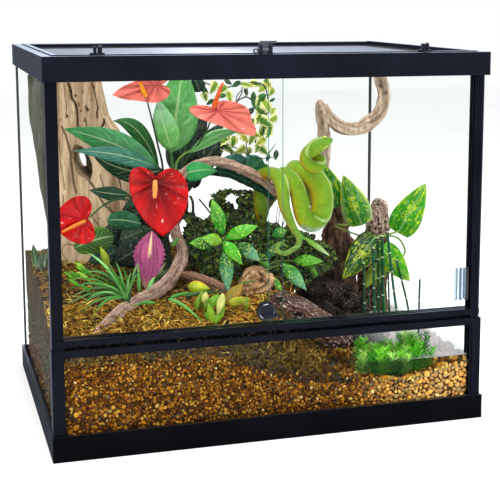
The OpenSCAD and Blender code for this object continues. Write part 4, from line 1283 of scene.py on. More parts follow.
def lumps():
    def xf_of(mat, off):
        M3, o = np.asarray(mat, float), np.asarray(off, float)
        return lambda V: np.asarray(V, float) @ M3.T + o

    def rz(a):
        c, s = math.cos(math.radians(a)), math.sin(math.radians(a))
        return np.array([[c, -s, 0], [s, c, 0], [0, 0, 1]])

    def ry(a):
        c, s = math.cos(math.radians(a)), math.sin(math.radians(a))
        return np.array([[c, 0, s], [0, 1, 0], [-s, 0, c]])

    # driftwood chunk: layered sawn-looking offcut
    def d_chunk(P, Nn, front, back):
        w = P[:, 2] * 0.08 - P[:, 0] * 0.035 + 1.5 * vn(P, 0.03, 3, 2)
        lay = 1 - 2 * np.abs((w - np.floor(w)) - 0.5) * 2
        n1 = vn(P, 0.07, 9, 3)
        n2 = vn(P, (0.12, 0.3, 0.5), 19, 2)
        off = -2.6 + 2.4 * np.clip(lay + 0.3, -0.8, 1) + 5.0 * n1 + 1.2 * n2
        # painted light and shade: colour follows the layers and bumps, darker in the grooves
        return off, np.clip(0.84 + 0.26 * lay + 0.6 * n1 + 0.4 * n2, 0.15, 1.35)
    acc = Acc()
    loft(acc, [-3, 6, 15, 27, 36], [-3, -9, -4, 3, 12], [46, 51, 51, 46, 32], -18, 18, 70, 28, 70, 0.5, d_chunk, xf_of(rz(-14) @ ry(-14), (-4, -54, 162)), (1, 1, 1), 3)
    acc.build("driftwood_chunk_wood", m_wood("chunk_wood", S(150, 112, 76), S(214, 174, 128), S(84, 54, 34), (50, 90, 140), (200, 300, 500), 0.8, 0.0012), replaces=("driftwood_chunk",), slot="driftwood")

    # cork column
    def d_cork(P, Nn, front, back):
        n1 = vn(P, (0.06, 0.06, 0.035), 13, 3)
        pits = np.clip(vn(P, 0.17, 33, 2) - 0.12, 0, 1)
        off = -1.5 + 4.6 * n1 - 9 * pits
        # painted shade: colour follows the relief, darker in the pits
        return off, np.clip(1.05 + 0.35 * n1 - 2.6 * pits, 0.1, 1.35)
    acc = Acc()
    loft(acc, [62, 100, 140, 190, 214, 250, 268, 277], [-33, -32, -30, -28, -22, -15, -10, -3], [25, 24, 22, 24, 25, 23.5, 20, 9], -11, 11, 60, 22, 170, 0.8, d_cork,
         xf_of(rz(-18), (252, 66, 0)), (1, 1, 1), 6)
    g = Mat("cork_skin")
    a = g.noise(g.coord(), 190, 5, 0.65)
    b = g.voro(g.coord(), 420)
    c = g.ramp(a, [(0.3, S(66, 46, 38)), (0.46, S(150, 120, 106)), (0.6, S(206, 186, 172)), (0.78, S(232, 220, 208))])
    c = g.mix(g.step(b, 0.5, 0.2), c, S(110, 74, 54))
    # painted shade: the cork below about 0.2 m, behind the leaves in front, is darkened
    c = g.mix(g.step(g.xyz(g.coord())[2], 0.236, 0.2), c, g.mix(1.0, c, (0.3, 0.2, 0.16), "MULTIPLY"))
    c = g.mix(1.0, c, g.col(), "MULTIPLY")
    g.bsdf(c, 0.88, spec=0.1, normal=g.bump(a, 0.002, 0.9))
    acc.build("cork_bark_block", g.m, replaces=("cork_bark",), slot="cork")

    # bark slab by the pond
    def d_bark(P, Nn, front, back):
        n1 = vn(P, (0.03, 0.1, 0.1), 17, 3)
        n2 = vn(P, (0.07, 0.3, 0.3), 27, 2)
        # painted light and shade: colour follows the relief, darker in the hollows
        return -2.5 + 6.0 * n1 + 2.2 * n2, np.clip(0.62 + 0.9 * n1 + 0.7 * n2, 0.1, 1.5)
    acc = Acc()
    loft(acc, [-18, -10, 0, 6, 11], [-30, -40, -45, -42, -32], [76, 90, 94, 80, 44], -30, 30, 130, 60, 44, 0.4, d_bark, xf_of(rz(-31) @ ry(28), (66, -104, 148)), (1, 1, 1), 4)
    g = Mat("bark_skin")
    a = g.noise(g.coord(rot=(0, 0.5, 0), scale=(60, 260, 260)), 1.0, 5, 0.65, 0.5)
    b = g.noise(g.coord(rot=(0, 0.5, -0.5), scale=(110, 270, 270)), 1.0, 3, 0.62)
    c = g.ramp(a, [(0.3, S(20, 10, 8)), (0.46, S(66, 38, 30)), (0.6, S(118, 74, 58)), (0.8, S(56, 36, 30))])
    # painted highlight: the white flecks are glints painted into the colour, a little glossier there
    gl = g.step(b, 0.57, 0.63)
    c = g.mix(g.math("MULTIPLY", gl, 0.85), c, S(246, 226, 214))
    c = g.mix(1.0, c, g.col(), "MULTIPLY")
    g.bsdf(c, g.math("MULTIPLY_ADD", gl, -0.5, 0.75), spec=0.2, normal=g.bump(a, 0.003, 1.0))
    acc.build("bark_slab_block", g.m, replaces=("bark_slab",), slot="dark_bark")

    # dark rock with two boulders in front of it
    def d_rock(P, Nn, front, back):
        q = np.abs(vn(P, 0.035, 43, 3))
        n1 = vn(P, 0.09, 47, 3)
        # painted light and shade: colour follows the relief, darker in the cracks
        return -5 + 11 * q + 3.4 * n1, np.clip(0.55 + 1.0 * q + 0.6 * n1, 0.15, 1.6)
    acc = Acc()
    loft(acc, [66, 84, 100, 128, 145, 156, 164], [118, 104, 97, 95, 96, 102, 114], [224, 223, 221, 209, 194, 172, 150], -25, 34, 120, 44, 100, 0.7, d_rock, lambda V: V, (1, 1, 1), 5)
    g = Mat("rock_skin")
    a = g.noise(g.coord(), 110, 7, 0.7, 0.6)
    b = g.noise(g.coord(), 340, 3, 0.6)
    c = g.ramp(a, [(0.3, S(8, 7, 9)), (0.48, S(20, 16, 16)), (0.58, S(50, 36, 31)), (0.7, S(96, 66, 54)), (0.8, S(30, 24, 24))])
    # pale flecks: light scratches on the stone and painted glints
    c = g.mix(g.math("MULTIPLY", g.step(b, 0.62, 0.7), 0.7), c, S(200, 172, 156))
    c = g.mix(1.0, c, g.col(), "MULTIPLY")
    g.bsdf(c, g.math("MULTIPLY_ADD", b, 0.4, 0.4), spec=0.12, normal=g.bump(a, 0.004, 1.0))
    rockm = g.m
    acc.build("dark_rock_block", rockm, replaces=("dark_rock",), slot="rock")
    acc = Acc()
    gg = rng(8)
    c = np.array([[104, -44, 104], [122, -52, 92], [148, -46, 84], [176, -42, 80], [204, -34, 78], [118, -20, 150], [150, -18, 146], [182, -16, 132], [206, -10, 112], [134, -30, 118], [166, -30, 104], [110, 6, 158]], float)
    stones(acc, c, gg.uniform(13, 21, len(c)), np.tile((1.0, 1.0, 1.0), (len(c), 1)) * gg.uniform(0.6, 1.3, (len(c), 1)), 9, 3, 0.5)
    acc.build("dark_rock_stones", rockm, replaces=("dark_rock",), slot="rock")


lumps()


# ------------------------------------------------------------------ plants
def pxmm(P):
    """Millimetres per photo pixel at point P."""
    return float(np.dot(RM[2], np.asarray(P, float) - EYE)) / FOC


def m_leaf(name, mode="plain", veins=9.0, rib=0.5, rough=0.32, spots=0.62, alt=(0.6, 0.75, 0.05), thin=0.22):
    g = Mat(name)
    uv = g.xyz(g.uv())
    a = g.math("MULTIPLY", g.math("ABSOLUTE", g.math("SUBTRACT", uv[0], 0.5)), 2.0)
    vc = g.math("MULTIPLY", g.math("SUBTRACT", uv[1], g.math("MULTIPLY", a, 0.3)), veins)
    pp = g.math("PINGPONG", vc, 0.5)
    line = g.math("SUBTRACT", 1.0, g.step(pp, 0.02, 0.13))
    mid = g.math("SUBTRACT", 1.0, g.step(a, 0.02, 0.1))
    o = g.coord()
    n1 = g.noise(o, 55, 4, 0.6)
    n2 = g.noise(o, 320, 3, 0.6)
    c = g.col()
    c = g.mix(g.math("MULTIPLY", g.step(n1, 0.35, 0.7), 0.6), c, g.mix(1.0, c, (0.35, 0.52, 0.42), "MULTIPLY"))
    # painted sheen: pale streaky patches stand in for gloss highlights on the leaf
    n3 = g.noise(g.join(g.math("MULTIPLY", a, 1.4), g.math("MULTIPLY", vc, 0.55), g.math("MULTIPLY", n1, 3.0)), 2.2, 3, 0.6)
    c = g.mix(g.math("MULTIPLY", g.step(n3, 0.56, 0.68), 0.42), c, g.mix(0.35, g.mix(1.0, c, (1.9, 1.6, 1.7), "MULTIPLY"), (0.75, 0.9, 0.78)))
    c = g.mix(g.math("MULTIPLY", line, 0.3 * rib), c, (0.55, 0.75, 0.45))
    if mode == "marble":
        m = g.noise(g.join(g.math("MULTIPLY", a, 2.2), g.math("MULTIPLY", vc, 0.42), g.math("MULTIPLY", n1, 5.0)), 1.6, 4, 0.65)
        c = g.mix(g.step(m, spots - 0.06, spots), c, alt)
        c = g.mix(g.step(m, spots + 0.09, spots + 0.13), c, (0.82, 0.9, 0.5))
    if mode == "dots":
        v = g.voro(o, 380)
        v2 = g.noise(o, 130, 2)
        c = g.mix(g.math("MULTIPLY", g.step(v, 0.36, 0.22), g.step(v2, 0.4, 0.52)), c, alt)
    if mode == "edge":
        e = g.math("ADD", a, g.math("MULTIPLY_ADD", n2, 0.9, -0.45))
        c = g.mix(g.step(e, 0.42, 0.62), c, (0.86, 0.85, 0.42))
        c = g.mix(g.math("MULTIPLY", g.step(n1, 0.52, 0.62), 0.5), c, (0.75, 0.62, 0.05))
    c = g.mix(g.math("MULTIPLY", mid, rib), c, (0.62, 0.78, 0.42))
    h = g.math("ADD", g.math("MULTIPLY", line, -0.6), g.math("MULTIPLY", n1, 0.8))
    nb = g.bump(h, 0.0007, 0.8)
    p = g.bsdf(c, g.math("MULTIPLY_ADD", n2, 0.25, rough - 0.06), spec=0.22, normal=nb, finish=False)
    tr = g.node("BsdfTranslucent")
    g.put(tr.inputs[0], c)
    return g.finish(g.blend(thin, p, tr.outputs[0]))


def profile(kind, t):
    if kind == "ovate":
        return np.sin(math.pi * t ** 0.72) ** 0.8
    if kind == "heart":
        return np.sin(math.pi * np.clip(t * 0.93 + 0.07, 0, 1) ** 0.6) ** 0.75
    if kind == "lance":
        return np.sin(math.pi * t ** 0.85) ** 0.95
    if kind == "obov":
        return np.sin(math.pi * t ** 1.35) ** 0.8
    if kind == "round":
        return np.sqrt(np.maximum(1 - (2 * t - 1) ** 2, 0))
    if kind == "serr":
        return np.sin(math.pi * t ** 1.3) ** 0.8 * (0.9 + 0.2 * (1 - ((t * 13) % 1)) * (t > 0.25))
    return np.minimum(1, 0.45 + t * 3) * (1 - t ** 2.2)


def leaf(acc, B, T, wid, kind="ovate", col=(0.1, 0.4, 0.1), roll=0.0, bow=0.1, fold=0.25, sag=0.0, wave=0.0, nt=14, ns=7, th=0.7, tip=None, edge=None, half=None, seed=0):
    """Curved blade from B to T (mm), turned towards the viewer and then rolled; wid is its full width in mm."""
    B, T = np.asarray(B, float), np.asarray(T, float)
    L = np.linalg.norm(T - B)
    ax = (T - B) / L
    view = unit(EYE - (B + T) / 2)
    W = unit(np.cross(ax, view))
    Nn = np.cross(W, ax)
    if np.dot(Nn, view) < 0:
        Nn = -Nn
    r = math.radians(roll)
    W, Nn = W * math.cos(r) + Nn * math.sin(r), Nn * math.cos(r) - W * math.sin(r)
    t = np.linspace(0, 1, nt)
    s = np.linspace(-1, 1, ns)
    w = wid / 2 * np.maximum(profile(kind, t), 0.03)
    up = np.array([0, 0, 1.0])
    cen = B + np.outer(t, ax * L) + np.outer(4 * t * (1 - t), Nn * bow * L + up * sag * L)
    wv = wave * np.sin(t[:, None] * 17 + seed + 2.0 * np.sign(s)[None]) * np.abs(s)[None] * w[:, None]
    P = cen[:, None] + W * (s[None, :] * w[:, None])[..., None] + Nn * (-fold * np.abs(s)[None] ** 1.3 * w[:, None] + wv)[..., None]
    k = nt * ns
    V = np.concatenate([(P + Nn * th / 2).reshape(-1, 3), (P - Nn * th / 2).reshape(-1, 3)])
    i, j = np.meshgrid(np.arange(nt - 1), np.arange(ns - 1), indexing="ij")
    a = (i * ns + j).ravel()
    flip = np.dot(np.cross(W, ax), Nn) < 0
    top = np.stack([a, a + 1, a + ns + 1, a + ns], 1)
    bot = np.stack([a, a + ns, a + ns + 1, a + 1], 1) + k
    loop = np.r_[np.arange(ns), np.arange(1, nt) * ns + ns - 1, (nt - 1) * ns + np.arange(ns - 2, -1, -1), np.arange(nt - 2, 0, -1) * ns]
    l2 = np.roll(loop, -1)
    side = np.stack([loop, loop + k, l2 + k, l2], 1)
    F = np.concatenate([top, bot, side])
    if flip:
        F = F[:, ::-1]
    U = np.tile(np.stack([np.tile(s * 0.5 + 0.5, nt), np.repeat(t, ns)], 1), (2, 1))
    g = rng(seed + 77)
    c0 = np.asarray(col, float)
    C = np.tile(c0, (nt, ns, 1)) * (1 + 0.12 * g.normal(size=(nt, 1, 1)) * 0.4)
    if half is not None:
        C[:, s > 0.05] = np.asarray(half, float)
    if tip is not None:
        q = np.clip(t * 1.5 - 0.5, 0, 1)[:, None, None]
        C = C * (1 - q) + np.asarray(tip, float) * q
    if edge is not None:
        q = np.clip((np.abs(s) - 0.7) * 3.3, 0, 1)[None, :, None]
        C = C * (1 - q) + np.asarray(edge, float) * q
    C = np.clip(C, 0, 1).reshape(-1, 3)
    acc.add(V, F, U, np.concatenate([C, C * 0.85]))


def pleaf(acc, b, t, wpx, kind="ovate", col=(0.1, 0.4, 0.1), **kw):
    """Leaf from photo pixels: b and t are (u, v, y)."""
    B, T = PY(*b), PY(*t)
    leaf(acc, B, T, wpx * pxmm((B + T) / 2), kind, col, **kw)


def pstem(acc, pts, rpx, col, n=8, k=6, wob=0.0):
    P = np.array([PY(*p) for p in pts])
    q = cr(P, k)
    tube(acc, q, np.interp(np.linspace(0, 1, len(q)), np.linspace(0, 1, len(rpx)), rpx) * pxmm(P[0]), n, col, wob)


HB = np.array([(0.0, 0.0), (-0.055, 0.05), (-0.13, 0.16), (-0.15, 0.29), (-0.09, 0.41), (0.04, 0.485), (0.2, 0.505), (0.38, 0.485), (0.56, 0.42), (0.74, 0.31), (0.88, 0.17), (0.96, 0.06), (1.0, 0.0)])


def spathe(acc, att, tip, across, col, bowl=0.14, dip=0.12, pucker=0.03, acy=0.0, th=1.0, dark=None, seed=0, nr=16, slim=1.0):
    """Heart-shaped bract: att and tip are (u, v, y); across is the pixel step over its full width."""
    A0, T0 = PY(*att), PY(*tip)
    X = T0 - A0
    Wv = PY(att[0] + across[0], att[1] + across[1], att[2] + acy) - A0
    N0 = unit(np.cross(X, Wv))
    if np.dot(N0, EYE - A0) < 0:
        N0 = -N0
    L = np.linalg.norm(X)
    h = cr(HB * np.c_[np.ones(len(HB)), 1 - (1 - slim) * np.clip((HB[:, 0] - 0.25) / 0.3, 0, 1)], 5)
    out = np.r_[h[:-1], (h[1:] * [1, -1])[::-1]]
    n = len(out)
    c = np.array([0.1, 0.0])
    R = np.linspace(0, 1, nr)[1:]
    ang = np.arctan2(out[:, 1], out[:, 0] - 0.02)
    pts, U, C, H = [], [], [], []
    col = np.asarray(col, float)
    dk = col * 0.55 if dark is None else np.asarray(dark, float)
    for r in np.r_[0.02, R]:
        q = c + (out - c) * r
        ridge = np.cos(ang * 11 + 0.6 * np.sin(ang * 3 + seed))
        z = bowl * L * (r ** 2) * (0.35 + 0.65 * (q[:, 1] / 0.5) ** 2) - dip * L * q[:, 0] ** 2 * np.sign(q[:, 0]) + pucker * L * ridge * r * (1.1 - r)
        z = z + 0.012 * L * np.sin(ang * 5 + seed) * r ** 3
        pts.append(A0 + np.outer(q[:, 0], X) + np.outer(q[:, 1], Wv) + np.outer(z, N0))
        U.append(np.stack([ang / (2 * math.pi) + 0.5, np.full(n, r)], 1))
        f = np.clip(1.15 - 1.1 * r, 0, 1)[()] if np.ndim(r) else max(0.0, min(1.0, 1.1 - 1.25 * r))
        # painted light and shade: colour follows the puckered ridges
        sh = (0.86 + 0.2 * ridge)[:, None]
        C.append((col * (1 - f) + dk * f)[None] * sh)
    P = np.array(pts)
    m = len(P)
    k = m * n
    V = np.concatenate([(P + N0 * th / 2).reshape(-1, 3), (P - N0 * th / 2).reshape(-1, 3)])
    i, j = np.meshgrid(np.arange(m - 1), np.arange(n), indexing="ij")
    a = (i * n + j).ravel()
    b = (i * n + (j + 1) % n).ravel()
    s = np.arange(n)
    e = (s + 1) % n
    o = (m - 1) * n
    F = np.concatenate([np.stack([a, b, b + n, a + n], 1), np.stack([a, a + n, b + n, b], 1) + k, np.stack([o + s, o + e, o + e + k, o + s + k], 1)])
    nrm = np.cross(P[1, n // 4] - P[0, n // 4], P[0, n // 4 + 1] - P[0, n // 4])
    if np.dot(nrm, N0) > 0:
        F = F[:, ::-1]
    acc.add(V, F, np.tile(np.concatenate(U), (2, 1)), np.clip(np.tile(np.concatenate(C), (2, 1)), 0, 1))
    ctr = np.array([[0] * 1])
    acc.add(np.r_[P[0] + N0 * th / 2, [P[0].mean(0) + N0 * th / 2]], np.stack([np.full(n, n), s, e], 1), None, dk)
    return A0, N0, L


def m_spathe():
    g = Mat("spathe_wax")
    uv = g.xyz(g.uv())
    v = g.math("PINGPONG", g.math("MULTIPLY", uv[0], 17.0), 0.5)
    o = g.coord()
    n1 = g.noise(o, 130, 3, 0.6)
    c = g.col()
    line = g.math("SUBTRACT", 1.0, g.step(v, 0.04, 0.2))
    c = g.mix(g.math("MULTIPLY", line, 0.35), c, g.mix(1.0, c, (0.6, 0.35, 0.4), "MULTIPLY"))
    # painted highlight: pale radial streaks in a band across the bract
    n2 = g.noise(g.join(g.math("MULTIPLY", uv[0], 60.0), g.math("MULTIPLY", uv[1], 5.0), 0.0), 1.0, 2, 0.5)
    band = g.math("MULTIPLY", g.step(uv[1], 0.24, 0.42), g.step(uv[1], 0.92, 0.7))
    c = g.mix(g.math("MULTIPLY", g.math("MULTIPLY", g.step(n2, 0.66, 0.74), band), 0.8), c, (1.0, 0.72, 0.72))
    c = g.mix(g.math("MULTIPLY", g.step(n1, 0.42, 0.7), 0.3), c, g.mix(1.0, c, (0.55, 0.5, 0.5), "MULTIPLY"))
    b = g.bump(g.math("ADD", n1, g.math("MULTIPLY", line, -0.5)), 0.0022, 0.9)
    g.bsdf(c, 0.3, spec=0.12, normal=b, coat=0.06, coat_rough=0.08)
    return g.m


def m_spadix():
    g = Mat("spadix")
    v = g.voro(g.coord(), 900)
    c = g.mix(g.step(v, 0.2, 0.6), g.col(), g.mix(1.0, g.col(), (0.7, 0.45, 0.3), "MULTIPLY"))
    g.bsdf(c, 0.5, spec=0.3, normal=g.bump(v, 0.0005, 0.7))
    return g.m


def inside_poly(u, v, P):
    r = False
    n = len(P)
    for i in range(n):
        x0, y0 = P[i]
        x1, y1 = P[(i + 1) % n]
        if (y0 > v) != (y1 > v) and u < (x1 - x0) * (v - y0) / (y1 - y0) + x0:
            r = not r
    return r


ML_PLAIN = m_leaf("leaf_plain")
ML_GLOSS = m_leaf("leaf_gloss", veins=7.0, rib=0.6, rough=0.26, thin=0.12)
ML_DARK = m_leaf("leaf_dark", veins=6.0, rib=0.12, rough=0.4, thin=0.06)


def anthurium():
    d1, d2, d3 = S(18, 78, 30), S(8, 46, 30), S(14, 30, 22)
    la = Acc()
    # large folded leaf on the left, light above and bluish below; the bluish tone below is a painted sheen
    pleaf(la, (158, 167, 20), (64, 129, -40), 27, "lance", S(84, 160, 104), bow=0.02, fold=0.2, sag=0.05, tip=S(34, 136, 60), seed=1, roll=10)
    pleaf(la, (157, 168, 10), (74, 151, -50), 18, "lance", S(60, 134, 112), bow=0.05, fold=0.15, sag=0.03, tip=S(56, 112, 104), seed=2, roll=-24)
    pleaf(la, (159, 168, 40), (113, 121, 20), 17, "lance", S(20, 96, 24), sag=0.22, bow=0.05, seed=3, tip=S(60, 130, 70))
    pleaf(la, (160, 171, 15), (92, 154, 0), 24, "ovate", S(6, 60, 22), sag=-0.1, bow=0.0, seed=4)
    # tall leaf
    pleaf(la, (171, 152, 20), (183, 66, 10), 45, "ovate", S(110, 182, 100), bow=0.04, fold=0.22, nt=22, ns=11, seed=5, tip=S(96, 184, 96), half=None)
    pleaf(la, (172, 150, 0), (158, 100, -6), 26, "ovate", S(120, 196, 96), bow=0.06, fold=0.2, seed=6, roll=20, tip=S(170, 214, 180))
    pleaf(la, (190, 153, 0), (240, 131, -10), 12.5, "lance", S(96, 170, 84), bow=0.05, sag=0.1, fold=0.1, edge=S(170, 214, 160), seed=7, tip=S(60, 120, 76))
    pleaf(la, (187, 173, -10), (217, 171, -14), 19, "heart", S(40, 168, 84), bow=0.1, sag=0.05, seed=8, roll=10, tip=S(24, 120, 60))
    pleaf(la, (129, 195, -20), (89, 190, -30), 14, "lance", S(4, 66, 40), bow=0.06, seed=9, sag=-0.02)
    pleaf(la, (141, 224, -30), (107, 220, -40), 19, "round", S(10, 96, 58), bow=0.08, seed=10, sag=0.05)
    pleaf(la, (74, 248, -60), (114, 236, -40), 26, "round", S(52, 96, 14), bow=0.12, sag=0.04, seed=11, edge=S(96, 132, 26))
    pleaf(la, (109, 266, -60), (100, 246, -60), 7, "lance", S(176, 196, 30), bow=0.2, seed=12)
    la.build("anthurium_leaves_light", ML_PLAIN, replaces=("anthurium",), slot="green_leaf")
    da = Acc()
    for i, (b, t, w) in enumerate([((178, 168, 40), (207, 108, 50), 26), ((188, 168, 40), (224, 122, 60), 22), ((174, 170, 30), (198, 114, 40), 20), ((196, 172, 30), (220, 138, 44), 24),
                                   ((180, 170, 20), (190, 128, 30), 22), ((176, 172, 50), (172, 130, 60), 18), ((186, 172, 50), (232, 134, 70), 18), ((200, 92, 60), (194, 76, 60), 16),
                                   ((168, 196, 40), (150, 160, 44), 18), ((170, 196, 20), (200, 172, 20), 18), ((160, 190, 30), (122, 210, 30), 18), ((120, 240, 20), (152, 228, 10), 20),
                                   ((116, 262, 0), (150, 240, 10), 24), ((120, 250, 10), (88, 262, 0), 20), ((186, 200, 30), (160, 170, 40), 18), ((140, 168, 40), (160, 180, 20), 14)]):
        pleaf(da, b, t, w, "ovate", [d3, d2, S(30, 56, 30)][i % 3], bow=0.06, seed=20 + i, roll=15 * ((i % 3) - 1))
    # painted shade: near-black filler leaves in the dark heart of the plant stand for the shade inside the foliage
    gg = rng(12)
    dark_px = [(150, 176), (176, 120), (196, 112), (206, 128), (222, 140), (214, 166), (196, 178), (182, 214), (152, 262), (112, 262), (108, 236), (128, 214), (150, 206)]
    n = 0
    while n < 90:
        u, v = gg.uniform(104, 224), gg.uniform(108, 264)
        if not inside_poly(u, v, dark_px):
            continue
        th = gg.uniform(0.6, 2.6)
        L = gg.uniform(16, 28)
        du, dv = L * math.cos(th) / 2, L * math.sin(th) / 2
        pleaf(da, (u - du, v + dv, gg.uniform(54, 80)), (u + du, v - dv, gg.uniform(54, 80)), gg.uniform(9, 15), "ovate", [S(6, 22, 16), S(10, 40, 22), S(4, 30, 26)][n % 3], bow=0.06, nt=9, ns=5, roll=gg.uniform(-20, 20), seed=300 + n)
        n += 1
    # two round leaves behind the arch of the branch
    pleaf(da, (216, 172, 26), (246, 158, 26), 20, "round", S(24, 92, 80), bow=0.05, seed=41)
    pleaf(da, (242, 178, 24), (262, 158, 24), 26, "round", S(34, 112, 72), bow=0.05, seed=42, edge=S(110, 170, 180))
    da.build("anthurium_leaves_dark", ML_DARK, replaces=("anthurium",), slot="dark_leaf")
    st = Acc()
    k = S(14, 28, 20)
    base = (166, 236, 30)
    pstem(st, [(146, 97, -18), (152, 120, -8), (158, 146, 6), (163, 171, 20), base], [0.7, 0.9, 1.1, 1.3], k)
    pstem(st, [(214, 108, -50), (206, 132, -20), (188, 158, 10), (174, 190, 26), base], [0.9, 1.0, 1.3], S(60, 90, 30))
    pstem(st, [(176, 172, 10), (177, 162, 8), (184, 154, 4), (191, 151, 0)], [1.4, 1.2, 0.9], S(120, 160, 60))
    pstem(st, [(171, 152, 20), (173, 170, 22), (172, 196, 28), base], [1.6, 1.6, 1.8], S(70, 130, 60))
    pstem(st, [(160, 178, -86), (158, 184, -60), (160, 200, -20), base], [1.0, 1.1, 1.2], k)
    pstem(st, [(90, 217, -116), (104, 205, -90), (120, 199, -60), (140, 206, -10), base], [0.9, 1.0, 1.2, 1.3], S(24, 84, 34))
    pstem(st, [(75, 246, -60), (66, 244, -70), (62, 252, -76), (68, 262, -80)], [0.6, 0.6], S(120, 96, 40))
    pstem(st, [(109, 264, -60), (118, 279, -70), (127, 297, -110)], [0.9, 1.2], S(110, 150, 40))
    for b in ((158, 167, 20), (128, 195, -20), (140, 224, -30), (178, 168, 40), (196, 172, 30)):
        pstem(st, [b, ((b[0] + 166) / 2 + 3, b[1] + 22, (b[2] + 30) / 2), base], [1.1, 1.5], S(22, 60, 30))
    pstem(st, [base, (168, 262, 30), (168, 280, 26)], [3.0, 4.5, 5.5], S(40, 50, 26), 14)
    st.build("anthurium_stems", ML_DARK, replaces=("anthurium",), slot="dark_leaf")
    fl = Acc()
    red, dred, salm = (0.5, 0.0008, 0.0018), (0.12, 0.0005, 0.002), S(240, 122, 106)
    spathe(fl, (156, 177, -86), (164.5, 235.5, -110), (57, 3), red, 0.1, 0.2, 0.035, dark=dred, seed=3, nr=18)
    spathe(fl, (87, 219, -116), (53, 223, -126), (6, 47), red, 0.16, 0.1, 0.05, acy=-6, dark=S(196, 6, 14), seed=5)
    spathe(fl, (214, 108, -50), (254.5, 136, -84), (-50, 9), salm, 0.08, 0.06, 0.03, acy=20, dark=S(216, 96, 86), seed=2, slim=0.72)
    spathe(fl, (161, 84, -18), (112.5, 95, -30), (3, 27), salm, 0.12, 0.06, 0.03, acy=16, dark=S(222, 104, 96), seed=7, slim=0.8)
    fl.build("anthurium_flowers", m_spathe(), replaces=("anthurium",), slot="red_flower")
    sp = Acc()
    pstem(sp, [(155, 181, -92), (155, 189, -100), (154.6, 198, -104)], [2.3, 2.8, 1.8], S(246, 176, 92), 12)
    pstem(sp, [(85, 221, -120), (74, 226, -128), (62.5, 232, -134)], [2.0, 1.9, 1.0], S(226, 142, 40), 12)
    pstem(sp, [(214, 107, -54), (217, 98, -58), (220, 90, -60), (223, 83, -62)], [2.7, 2.4, 1.9, 1.1], S(226, 102, 16), 12)
    pstem(sp, [(146, 96, -24), (143, 90, -26), (139.5, 81, -28)], [2.4, 2.4, 1.4], S(246, 172, 10), 12)
    sp.build("anthurium_spadices", m_spadix(), replaces=("anthurium",), slot="red_flower")


anthurium()


def pothos():
    m = m_leaf("pothos_leaf", "marble", veins=5.0, rib=0.25, rough=0.3, spots=0.585, alt=S(190, 210, 40), thin=0.2)
    a = Acc()
    pleaf(a, (362, 225, 18), (343.5, 175.5, 0), 30, "heart", S(40, 132, 16), bow=0.08, fold=0.3, nt=20, ns=11, seed=1, edge=S(196, 214, 150))
    pleaf(a, (334, 208, 24), (322, 163, 26), 30, "heart", S(34, 124, 10), bow=0.06, fold=0.25, nt=20, ns=11, seed=2)
    pleaf(a, (398, 233, -4), (425.5, 184, -20), 31, "heart", S(46, 152, 12), bow=0.08, fold=0.25, nt=20, ns=11, seed=3)
    pleaf(a, (376, 236, 2), (342.5, 279, -14), 29, "heart", S(30, 84, 10), bow=0.12, fold=0.3, nt=20, ns=11, seed=4, half=S(22, 70, 12))
    pleaf(a, (381, 247, -6), (409.5, 281, -20), 25, "heart", S(60, 160, 8), bow=0.12, fold=0.2, nt=20, ns=11, seed=5)
    pleaf(a, (378, 262, 12), (366, 288, 6), 12, "lance", S(150, 176, 40), bow=0.1, seed=6)
    pleaf(a, (384, 262, 14), (376, 286, 8), 12, "lance", S(120, 150, 30), bow=0.1, seed=7)
    a.build("pothos_leaves", m, replaces=("pothos",), slot="variegated_leaf")
    s = Acc()
    g1 = S(150, 180, 56)
    pstem(s, [(363, 224.5, 18), (350, 225, 26), (336, 224.5, 36)], [0.9, 0.9], g1)
    pstem(s, [(335, 226, 36), (345, 230, 28), (358, 235, 16), (372, 237.5, 4), (388, 234.5, 0), (398, 231, -4)], [0.7, 0.9, 1.0, 1.1], g1)
    pstem(s, [(380, 237, 2), (392, 236, -2), (400, 240, -6), (405, 250, -8), (402, 257, -10), (394, 260.5, -8), (384, 262, 4)], [0.9, 1.0, 0.9], S(132, 168, 40))
    pstem(s, [(376, 237, 4), (380, 260, 14), (384, 290, 22), (386, 322, 26)], [1.1, 1.2, 1.4], S(110, 130, 50))
    s.build("pothos_stems", ML_PLAIN, replaces=("pothos",), slot="variegated_leaf")


pothos()


